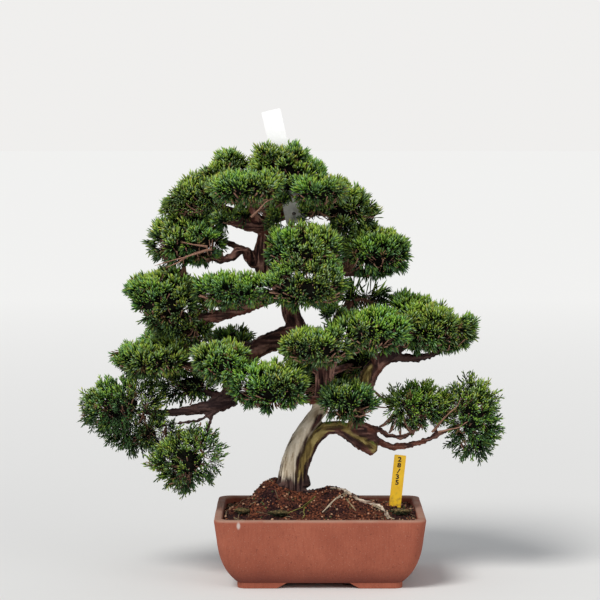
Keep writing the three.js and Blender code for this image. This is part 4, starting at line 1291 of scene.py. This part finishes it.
def moss_part(name):
    low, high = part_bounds(name)
    centre, half = (low + high) / 2, (high - low) / 2

    def raggedness(way):
        return 0.75 * noise.noise(way * 2.6 + centre * 90)

    dome = bmesh.new()
    bmesh.ops.create_icosphere(dome, subdivisions=3, radius=1)
    for vert in dome.verts:
        ragged = 0.66 + raggedness(vert.co)
        vert.co = Vector((vert.co.x * half.x * ragged, vert.co.y * half.y * ragged,
                          vert.co.z * half.z * 0.45)) + centre
    points, triangles = as_arrays(mesh_of(dome, "dome"))
    parts = [(points.astype(float), triangles, map_of(points, 0.15, 0.15))]
    for _ in range(STEMS_EACH):
        aim = dice.uniform(0, 2 * math.pi)
        out = math.sqrt(dice.random()) * 0.93
        way = Vector((math.cos(aim), math.sin(aim), 0))
        reach = out * (0.86 + raggedness(way + Vector((0, 0, 0.3))))
        spot = np.array([centre.x + half.x * reach * way.x, centre.y + half.y * reach * way.y,
                         centre.z + half.z * 0.4 * math.sqrt(1 - out * out)])
        lean = np.array([[0.8 * out * way.x, 0.8 * out * way.y, 1.0]])
        turn = frames_for(lean + 0.5 * random_directions(1), dice.uniform(0, 6.28, 1))[0]
        size = np.array([0.5, 0.5, dice.uniform(1.0, 3.8)]) * MM
        tone = min(1, max(0, 0.5 + 0.9 * noise_at(spot, 3.5 * MM) + dice.uniform(-0.2, 0.2)))
        parts.append(((stem_points * size) @ turn.T + spot, stem_triangles,
                      map_of(stem_points, tone, stem_points[:, 2])))
    for _ in range(MOSS_CRUMBS):
        aim, out = dice.uniform(0, 2 * math.pi), 0.8 * math.sqrt(dice.random())
        spot = np.array([centre.x + half.x * out * math.cos(aim), centre.y + half.y * out * math.sin(aim),
                         centre.z + half.z * (0.5 + 0.25 * math.sqrt(1 - out * out))])
        points, triangles = lumps[dice.integers(len(lumps))]
        placed = points * dice.uniform(0.5, 1.3) * MM + spot
        parts.append((placed, triangles, map_of(points, 1.0, dice.random())))
    return joined(parts)


moss_names = sorted(name for name in nodes if name.startswith("moss_"))
for name in moss_names:
    show(name + "_cushion", mesh_from(name, [moss_part(name)]), "moss", [name], moss_material)
print("moss cushions:", moss_names)

# %% [markdown]
# ## The pot
# The real pot was pressed in a mould and burnt without glaze. Its plan is a rectangle with
# round corners, and its walls curl in towards the foot, so one outline can be drawn upwards
# ring by ring, over the rim and down inside. Each new ring is extruded from the last one and
# scaled to the size that the wall has at its height. The floor is filled between the last
# ring and the two drain holes.

# %% Pot profile
RIM_HALF = (120 * MM, 97 * MM)
RIM_TOP, FOOT_TOP, FLOOR_UP = 80.5 * MM, 6.5 * MM, 14 * MM
WALL_LEAN, WALL_CURL = 0.135, 36
CORNER_ROUND = 11 * MM
DRAIN_AT, DRAIN_RADIUS = 52 * MM, 9 * MM


def leans_in(z):
    """How far the end wall stands inside the rim's edge at height z, and the long wall."""
    curl = max(0, (50 - z / MM) / 52)
    inset = WALL_LEAN * (RIM_TOP - z) / MM + WALL_CURL * (1 - math.sqrt(1 - curl * curl))
    return inset * MM, 0.8 * inset * MM


def ring_half(z, wall):
    ends, longs = leans_in(z)
    return RIM_HALF[0] - ends - wall * MM, RIM_HALF[1] - longs - wall * MM


outside = [(z * MM, 0) for z in (6.5, 7.5, 9, 11, 13.5, 16.5, 20, 24, 29, 35, 42, 50, 58, 66, 73, 77)]
lip = [(78.4 * MM, 0.05), (79.5 * MM, 0.5), (80.2 * MM, 1.2), (80.5 * MM, 2.1), (80.5 * MM, 5.0),
       (80.5 * MM, 7.4), (80.1 * MM, 8.3), (79.0 * MM, 8.9), (77 * MM, 9)]
inside = [(z * MM, 9) for z in (70, 60, 50, 40, 30, 20)] + [(FLOOR_UP, 13)]
profile = outside + lip + inside
print("rings in the pot:", len(profile))

# %% [markdown]
# The first outline is a grid of one face with its four corners bevelled round. Only its edges
# are kept. The rings above are extruded from them, and circles are added for the drain holes.

# %% Pot body
pot_shape = bmesh.new()


def rounded_outline(half, z):
    """The edges of a rectangle with round corners at height z, with spare points along its sides."""
    before = set(pot_shape.verts)
    bmesh.ops.create_grid(pot_shape, x_segments=1, y_segments=1, size=1)
    new = [vert for vert in pot_shape.verts if vert not in before]
    bmesh.ops.scale(pot_shape, vec=(*half, 1), verts=new)
    bmesh.ops.translate(pot_shape, vec=(0, 0, z), verts=new)
    bmesh.ops.bevel(pot_shape, geom=new, affect="VERTICES", offset=CORNER_ROUND, segments=8, profile=0.5,
                    material=-1)
    bmesh.ops.delete(pot_shape, geom=pot_shape.faces[:], context="FACES_ONLY")
    long_ones = [edge for edge in pot_shape.edges if edge.calc_length() > 40 * MM]
    bmesh.ops.subdivide_edges(pot_shape, edges=long_ones, cuts=11)
    return list(pot_shape.edges)


def drain_ring(x, z):
    made = bmesh.ops.create_circle(pot_shape, segments=24, radius=DRAIN_RADIUS,
                                   matrix=Matrix.Translation((x, 0, z)))
    return list({edge for vert in made["verts"] for edge in vert.link_edges})


first_ring = rounded_outline(ring_half(*profile[0]), profile[0][0])
ring, (last_z, last_wall) = first_ring, profile[0]
for z, wall in profile[1:]:
    grown = bmesh.ops.extrude_edge_only(pot_shape, edges=ring)["geom"]
    corners = points_in(grown)
    ring = [each for each in grown if isinstance(each, bmesh.types.BMEdge)]
    was, now = ring_half(last_z, last_wall), ring_half(z, wall)
    bmesh.ops.scale(pot_shape, vec=(now[0] / was[0], now[1] / was[1], 1), verts=corners)
    bmesh.ops.translate(pot_shape, vec=(0, 0, z - last_z), verts=corners)
    last_z, last_wall = z, wall
under = [drain_ring(x, FOOT_TOP) for x in (-DRAIN_AT, DRAIN_AT)]
over = [drain_ring(x, FLOOR_UP) for x in (-DRAIN_AT, DRAIN_AT)]
bmesh.ops.triangle_fill(pot_shape, edges=first_ring + under[0] + under[1], use_beauty=True)
bmesh.ops.triangle_fill(pot_shape, edges=ring + over[0] + over[1], use_beauty=True)
for low_ring, high_ring in zip(under, over):
    bmesh.ops.bridge_loops(pot_shape, edges=low_ring + high_ring)
bmesh.ops.recalc_face_normals(pot_shape, faces=pot_shape.faces)
print("open edges in the pot:", sum(edge.is_boundary for edge in pot_shape.edges))

# %% [markdown]
# The feet are one low ring under the body, cut through in the middle of each side. A plane
# that cuts a closed shape leaves a hole, which is filled at once, so each foot stays a solid.
# At the end the whole pot wavers a little, as clay from a mould does. The noise of vectors has
# to be seeded first, or each run would give another pot.

# %% Pot feet
FOOT_WALL = 15 * MM
CUTS = {"x": {"high": 35.5, "low": 47.5, "middle": -2}, "y": {"high": 28, "low": 38, "middle": 0}}
CUT_HIGH = FOOT_TOP / MM
INTO_POT = 0.4 * MM


def add_foot(side_x, side_y):
    foot = bmesh.new()
    bmesh.ops.create_grid(foot, x_segments=1, y_segments=1, size=1)
    bmesh.ops.scale(foot, vec=(*ring_half(FOOT_TOP, 0), 1), verts=foot.verts)
    bmesh.ops.bevel(foot, geom=foot.verts, affect="VERTICES", offset=CORNER_ROUND, segments=8,
                    profile=0.5, material=-1)
    middle = list(foot.faces)
    bmesh.ops.inset_region(foot, faces=middle, thickness=FOOT_WALL, use_boundary=True,
                           use_even_offset=True)
    bmesh.ops.delete(foot, geom=middle, context="FACES_ONLY")
    raised = bmesh.ops.extrude_face_region(foot, geom=foot.faces[:], use_keep_orig=True)["geom"]
    bmesh.ops.translate(foot, vec=(0, 0, FOOT_TOP + INTO_POT), verts=points_in(raised))
    x_cut, y_cut = CUTS["x"], CUTS["y"]
    cut_off(foot, ((x_cut["middle"] + side_x * x_cut["high"]) * MM, 0, FOOT_TOP),
            (side_x * CUT_HIGH, 0, x_cut["low"] - x_cut["high"]))
    cut_off(foot, (0, (y_cut["middle"] + side_y * y_cut["high"]) * MM, FOOT_TOP),
            (0, side_y * CUT_HIGH, y_cut["low"] - y_cut["high"]))
    bmesh.ops.remove_doubles(foot, verts=foot.verts, dist=0.01 * MM)
    bmesh.ops.recalc_face_normals(foot, faces=foot.faces)
    sharp = [edge for edge in foot.edges if edge.is_manifold and edge.calc_face_angle() > 0.7
             and max(vert.co.z for vert in edge.verts) < FOOT_TOP]
    bmesh.ops.bevel(foot, geom=sharp, affect="EDGES", offset=0.7 * MM, segments=2, profile=0.5,
                    material=-1)
    made = mesh_of(foot, "foot")
    pot_shape.from_mesh(made)
    bpy.data.meshes.remove(made)


for side_x in (-1, 1):
    for side_y in (-1, 1):
        add_foot(side_x, side_y)
WOBBLE, WOBBLE_SIZE, WOBBLE_SEED = 0.35 * MM, 38 * MM, 7
noise.seed_set(WOBBLE_SEED)
for vert in pot_shape.verts:
    wobble = noise.noise_vector(vert.co / WOBBLE_SIZE) * WOBBLE
    vert.co += Vector((wobble.x, wobble.y, 0)) + pot_middle
pot_mesh = mesh_of(pot_shape, "clay_pot")
pot_mesh.polygons.foreach_set("use_smooth", [True] * len(pot_mesh.polygons))
pot_mesh.set_sharp_from_angle(angle=math.radians(40))
print("faces in the pot:", len(pot_mesh.polygons))

# %% [markdown]
# Unglazed clay is matt, and its colour is never even: fine grog shows as pale specks, pits are dark, the mould
# left faint upright hairlines, and rain and hands have greyed the rim. The body gets painted shade towards its
# foot, where it curls under, and one pale stain sits on the front, near the rim's left corner.

# %% Clay material
clay_material, clay_nodes, clay_shader = new_material("unglazed_clay", 0.82, 0.22)
clay_place = object_place(clay_nodes)
clay_height = axes_of(clay_nodes, clay_place)[2]
broad = patches(clay_nodes, clay_place, 22, 4, 0.35, 0.65)
clay_tint = blend(clay_nodes, broad, (0.300, 0.080, 0.046), (0.375, 0.112, 0.066))
drawn_up = add(clay_nodes, "Mapping", Vector=clay_place, Scale=(1, 1, 0.03)).outputs[0]
hairlines = patches(clay_nodes, drawn_up, 520, 3, 0.4, 0.75)
grog = patches(clay_nodes, clay_place, 820, 2, 0.62, 0.74)
pits = patches(clay_nodes, clay_place, 560, 2, 0.64, 0.72)
clay_tint = lay_over(clay_nodes, clay_tint, (0.210, 0.052, 0.032), hairlines, 0.35)
clay_tint = lay_over(clay_nodes, clay_tint, (0.520, 0.270, 0.190), grog, 0.5)
clay_tint = lay_over(clay_nodes, clay_tint, (0.120, 0.030, 0.022), pits, 0.55)
print("clay, hairlines, grog and pits ready")

# %% [markdown]
# Three masks go over the clay: painted shade low on the body by height, with the feet left out, the worn rim
# by height and patches, and the stain by the distance from its place.

# %% Painted shade low on the body, worn rim and stain
STAIN_AT = Vector((-91.5 * MM, -97 * MM, 74.5 * MM)) + pot_middle
STAIN_EDGE, STAIN_FULL = 2.6 * MM, 1.2 * MM


def between(tree, value, none_at, full_at):
    """A mask that grows from nothing at one value to full at another."""
    return add(tree, "MapRange", Value=value, From_Min=none_at, From_Max=full_at).outputs[0]


# Painted shade: the body darkens towards its foot, where it curls under. The feet themselves are left out.
near_foot = maths(clay_nodes, "POWER", between(clay_nodes, clay_height, 30 * MM, FOOT_TOP), 1.6)
on_body = maths(clay_nodes, "GREATER_THAN", clay_height, FOOT_TOP + 0.1 * MM)
shade_low_on_body = maths(clay_nodes, "MULTIPLY", near_foot, on_body)
clay_tint = lay_over(clay_nodes, clay_tint, (0.120, 0.030, 0.024), shade_low_on_body, 0.8)
rim_worn = between(clay_nodes, clay_height, RIM_TOP - 3 * MM, RIM_TOP - 0.7 * MM)
worn_patches = maths(clay_nodes, "ADD", patches(clay_nodes, clay_place, 60, 4, 0.3, 0.7), 0.35)
clay_tint = lay_over(clay_nodes, clay_tint, (0.370, 0.205, 0.150), rim_worn, worn_patches)
from_stain = add(clay_nodes, "VectorMath", {"operation": "SUBTRACT"}, Vector=clay_place)
from_stain.inputs[1].default_value = STAIN_AT
squeezed = add(clay_nodes, "VectorMath", {"operation": "MULTIPLY"}, Vector=from_stain.outputs[0])
squeezed.inputs[1].default_value = (1.0, 1.0, 0.5)
stain_away = add(clay_nodes, "VectorMath", {"operation": "LENGTH"}, Vector=squeezed.outputs[0])
stain = between(clay_nodes, stain_away.outputs["Value"], STAIN_EDGE, STAIN_FULL)
clay_tint = lay_over(clay_nodes, clay_tint, (0.620, 0.560, 0.520), stain, 0.75)
paint(clay_nodes, clay_shader, clay_tint, stops(clay_nodes, broad, (0.0, 0.74), (1.0, 0.9)))
bump(clay_nodes, clay_shader, blend(clay_nodes, 0.5, grog, pits, "SUBTRACT"), 0.0003, 0.7)
show("clay_pot", pot_mesh, "clay", ["pot"], clay_material)
print("clay material ready")

# %% [markdown]
# ## The plant label
# Nurseries push a yellow plastic label into the soil. This one is a blade with a point,
# hidden in the soil, and soft edges. The numbers are written one under another with a brush
# pen. They are plain numbers made as text, and turned into a thin mesh of ink that lies on
# the blade's front.

# %% Label blade and numbers
LABEL_HALF, LABEL_LONG, LABEL_POINT = 6.8 * MM, 84 * MM, 12 * MM
LABEL_THICK = 1.0 * MM
NUMBERS = ("2", "8", "/", "3", "5")
NUMBER_SIZE, NUMBER_STEP, NUMBER_TOP = 7.4 * MM, 6.7 * MM, 76.5 * MM
label_place = (Matrix.Translation(pot_middle + Vector((84, -20, 61)) * MM)
               @ Matrix.Rotation(math.radians(6), 4, "Y"))

blade = bmesh.new()
bmesh.ops.create_grid(blade, x_segments=2, y_segments=1, size=0.5)
bmesh.ops.scale(blade, vec=(2 * LABEL_HALF, LABEL_LONG, 1), verts=blade.verts)
bmesh.ops.rotate(blade, cent=(0, 0, 0), matrix=Matrix.Rotation(math.radians(90), 3, "X"),
                 verts=blade.verts)
bmesh.ops.translate(blade, vec=(0, -LABEL_THICK / 2, LABEL_LONG / 2), verts=blade.verts)
low_corners = [vert for vert in blade.verts if vert.co.z < MM and abs(vert.co.x) > MM]
bmesh.ops.translate(blade, vec=(0, 0, LABEL_POINT), verts=low_corners)
corners = [vert for vert in blade.verts if vert.co.z > LABEL_LONG - MM and abs(vert.co.x) > MM]
bmesh.ops.bevel(blade, geom=corners, affect="VERTICES", offset=1.2 * MM, segments=3, profile=0.5,
                material=-1)
back = bmesh.ops.extrude_face_region(blade, geom=blade.faces[:], use_keep_orig=True)["geom"]
bmesh.ops.translate(blade, vec=(0, LABEL_THICK, 0), verts=points_in(back))
bmesh.ops.recalc_face_normals(blade, faces=blade.faces)
square_edges = [edge for edge in blade.edges if edge.calc_face_angle() > 1.2]
bmesh.ops.bevel(blade, geom=square_edges, affect="EDGES", offset=0.22 * MM, segments=2, profile=0.5,
                material=-1)
print("faces in the blade:", len(blade.faces))

# %% [markdown]
# Each number is a text object that is made a mesh, stood upright, tilted a little as a hand
# does, and joined to the blade with the ink as its material.

# %% Numbers on the label
INK_THICK = 0.03 * MM
for row, number in enumerate(NUMBERS):
    text = bpy.data.curves.new("number", "FONT")
    text.body = number
    text.size = NUMBER_SIZE
    text.align_x = "CENTER"
    text.extrude = INK_THICK
    text.offset = 0.3 * MM
    text.resolution_u = 3
    written = bpy.data.objects.new("number", text)
    scene.collection.objects.link(written)
    ink = bpy.data.meshes.new_from_object(written.evaluated_get(bpy.context.evaluated_depsgraph_get()))
    bpy.data.objects.remove(written)
    tilt = Matrix.Rotation(math.radians(dice.uniform(-9, 9)), 4, "Z")
    stand = Matrix.Rotation(math.radians(90), 4, "X")
    up = NUMBER_TOP - NUMBER_STEP * row
    ink.transform(Matrix.Diagonal((1.15, 1, 1, 1)))
    place = Matrix.Translation((dice.uniform(-0.5, 0.5) * MM, -LABEL_THICK / 2 - INK_THICK, up))
    ink.transform(place @ stand @ tilt)
    faces_before = set(blade.faces)
    blade.from_mesh(ink)
    for face in set(blade.faces) - faces_before:
        face.material_index = 1
bmesh.ops.transform(blade, matrix=label_place, verts=blade.verts)
bmesh.ops.triangulate(blade, faces=[face for face in blade.faces if len(face.verts) > 4])
label_mesh = mesh_of(blade, "label_with_numbers")
print("numbers on the label:", " ".join(NUMBERS))

# %% [markdown]
# The plastic has faded a little in patches, and watering has splashed soil on its foot.

# %% Plastic and ink
label_material, label_nodes, label_shader = new_material("yellow_plastic", 0.42, 0.45)
label_spot = object_place(label_nodes)
label_dust = patches(label_nodes, label_spot, 240, 4, 0.45, 0.75)
label_fade = patches(label_nodes, label_spot, 45)
label_tint = blend(label_nodes, label_fade, (0.780, 0.440, 0.010), (0.860, 0.540, 0.016))
label_low = between(label_nodes, axes_of(label_nodes, label_spot)[2], 102 * MM, 84 * MM)
splashed = maths(label_nodes, "MULTIPLY", maths(label_nodes, "ADD", label_low, 0.15), label_dust)
paint(label_nodes, label_shader, blend(label_nodes, splashed, label_tint, (0.200, 0.090, 0.030)),
      stops(label_nodes, label_dust, (0.0, 0.36), (1.0, 0.62)))
ink_material, ink_nodes, ink_shader = new_material("dark_ink", 0.6, 0.3)
ink_faded = patches(ink_nodes, object_place(ink_nodes), 500, 3)
paint(ink_nodes, ink_shader, blend(ink_nodes, ink_faded, (0.012, 0.005, 0.005), (0.040, 0.014, 0.008)))
show("label_with_numbers", label_mesh, "label_plastic", ["plant_label"], label_material, ink_material)
print("plastic and ink ready")

# %% [markdown]
# ## The paper tag
# A strip of white paper is tied to a branch of the crown, and its free end stands up behind
# the apex. Paper never stays flat: it gets a slow bend along its length, and its edges curl a
# little. The hole is one square of the grid, whose sides get a point in the middle so that
# its eight points can be drawn into a circle.

# %% Paper tag
TAG_WIDE, TAG_LONG, TAG_THICK = 22 * MM, 132 * MM, 0.45 * MM
TAG_HOLE, TAG_HOLE_UP = 2.2 * MM, 11 * MM
tag_foot = Vector((-27, -18, 411)) * MM + pot_middle
tag_up = (Vector((-56, -10, 540)) * MM + pot_middle - tag_foot).normalized()
tag_side = (Vector((1, 0, 0)) - tag_up * tag_up.x).normalized()
tag_face = tag_side.cross(tag_up)
tag_place = Matrix((tag_side, tag_up, tag_face)).transposed().to_4x4()
tag_place.translation = tag_foot

paper = bmesh.new()
bmesh.ops.create_grid(paper, x_segments=5, y_segments=30, size=0.5)
bmesh.ops.scale(paper, vec=(TAG_WIDE, TAG_LONG, 1), verts=paper.verts)
bmesh.ops.translate(paper, vec=(0, TAG_LONG / 2, 0), verts=paper.verts)
hole_middle = Vector((0, TAG_HOLE_UP, 0))
punched = min(paper.faces, key=lambda face: (face.calc_center_median() - hole_middle).length)
hole_edges = list(punched.edges)
bmesh.ops.delete(paper, geom=[punched], context="FACES_ONLY")
bmesh.ops.subdivide_edges(paper, edges=hole_edges, cuts=1)
for vert in paper.verts:
    from_hole = vert.co - hole_middle
    if from_hole.length < 3.5 * MM:
        vert.co = hole_middle + from_hole.normalized() * TAG_HOLE
for vert in paper.verts:
    along = vert.co.y / TAG_LONG
    across = vert.co.x / TAG_WIDE
    vert.co.z += (1.8 * math.sin(2.6 * along) - 2.4 * max(0, along - 0.72) * 3 * along) * MM
    vert.co.z += 1.6 * across * across * along * MM + 0.8 * across * along * MM
paper_corners = [vert for vert in paper.verts if len(vert.link_edges) == 2 and
                 abs(vert.co.x) > TAG_WIDE * 0.49 and (vert.co.y < MM or vert.co.y > TAG_LONG - MM)]
bmesh.ops.bevel(paper, geom=paper_corners, affect="VERTICES", offset=1.3 * MM, segments=2, profile=0.5,
                material=-1)
bmesh.ops.solidify(paper, geom=paper.faces[:], thickness=TAG_THICK)
bmesh.ops.transform(paper, matrix=tag_place, verts=paper.verts)
bmesh.ops.recalc_face_normals(paper, faces=paper.faces)
tag_mesh = mesh_of(paper, "white_paper_tag")
print("faces in the tag:", len(tag_mesh.polygons))

# %% [markdown]
# The free end of the paper is white. Its lower end, among the shoots, gets painted shade from the crown above,
# grey and blotched.

# %% Paper material
paper_material, paper_nodes, paper_shader = new_material("white_paper", 0.8, 0.2)
paper_place = object_place(paper_nodes)
paper_clouds = patches(paper_nodes, paper_place, 90, 4)
paper_tint = blend(paper_nodes, paper_clouds, (0.900, 0.900, 0.900), (0.940, 0.940, 0.950))
# Painted shade: below the crown the paper turns a blotched grey.
paper_low = between(paper_nodes, axes_of(paper_nodes, paper_place)[2], 468 * MM, 440 * MM)
paper_shade_blotches = patches(paper_nodes, paper_place, 130, 4, 0.3, 0.7)
paper_painted_shade = blend(paper_nodes, paper_shade_blotches, (0.520, 0.500, 0.450), (0.860, 0.850, 0.810))
paint(paper_nodes, paper_shader, blend(paper_nodes, paper_low, paper_tint, paper_painted_shade))
bump(paper_nodes, paper_shader, patches(paper_nodes, paper_place, 900, 3), 0.0001, 0.5)
show("white_paper_tag", tag_mesh, "paper", ["paper_tag"], paper_material)
print("paper ready")

# %% [markdown]
# The wire is one closed loop, from the hole round the branch behind it and back under the
# paper's end. A small circle is spun round a big one, and the ring is squeezed to an oval.

# %% Tag wire
WIRE_RADIUS, LOOP_DEEP, LOOP_HIGH = 0.6 * MM, 18 * MM, 10.5 * MM
LOOP_AT = Vector((0, -4, 415.5)) * MM
hole_at = tag_place @ hole_middle
loop = bmesh.new()
bmesh.ops.create_circle(loop, segments=8, radius=WIRE_RADIUS, matrix=Matrix.Translation((0, 1, 0)))
bmesh.ops.spin(loop, geom=loop.verts[:] + loop.edges[:], cent=(0, 0, 0), axis=(1, 0, 0),
               angle=2 * math.pi, steps=40, use_merge=True)
for vert in loop.verts:
    round_from = math.hypot(vert.co.y, vert.co.z)
    proud = round_from - 1
    vert.co.y = vert.co.y / round_from * (LOOP_DEEP + proud)
    vert.co.z = vert.co.z / round_from * (LOOP_HIGH + proud)
bmesh.ops.translate(loop, vec=(hole_at.x, pot_middle.y + LOOP_AT.y, LOOP_AT.z), verts=loop.verts)
bmesh.ops.recalc_face_normals(loop, faces=loop.faces)
wire_mesh = mesh_of(loop, "tag_wire_loop")
wire_mesh.polygons.foreach_set("use_smooth", [True] * len(wire_mesh.polygons))
wire_material, wire_nodes, wire_shader = new_material("aluminium_wire", 0.4)
wire_shader.inputs["Metallic"].default_value = 0.9
wire_dull = patches(wire_nodes, object_place(wire_nodes), 300, 4)
paint(wire_nodes, wire_shader, blend(wire_nodes, wire_dull, (0.250, 0.245, 0.235), (0.480, 0.475, 0.460)),
      stops(wire_nodes, wire_dull, (0.0, 0.55), (1.0, 0.32)))
show("tag_wire_loop", wire_mesh, "wire", ["tag_wire"], wire_material)
print("faces in the wire:", len(wire_mesh.polygons))

# %% [markdown]
# ## Under the soil
# Two plastic meshes over the drain holes keep the soil in, each held by a wire clip. The part
# models their shapes well enough, so they stay, and only their materials are made here.

# %% Drain meshes and clips
mesh_material, mesh_nodes, mesh_shader = new_material("black_mesh_plastic", 0.55, 0.4)
mesh_scuffs = patches(mesh_nodes, object_place(mesh_nodes), 350, 4)
paint(mesh_nodes, mesh_shader, blend(mesh_nodes, mesh_scuffs, (0.012, 0.014, 0.016), (0.045, 0.048, 0.050)),
      stops(mesh_nodes, mesh_scuffs, (0.0, 0.42), (1.0, 0.7)))
for name, node in nodes.items():
    if name.startswith("drain_mesh"):
        node.material_slots[0].material = mesh_material
    if name.startswith("mesh_clip"):
        node.material_slots[0].material = wire_material
print("finished under the soil")

# %% [markdown]
# ## Sizes
# The boxes of the part and of the finished model are given side by side. The finished model
# may stand only a little proud of the part.

# %% Sizes, and the end
def corners(box):
    return [list(corner) for corner in box]


{"part": corners(part_box), "visual": corners(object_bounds())}
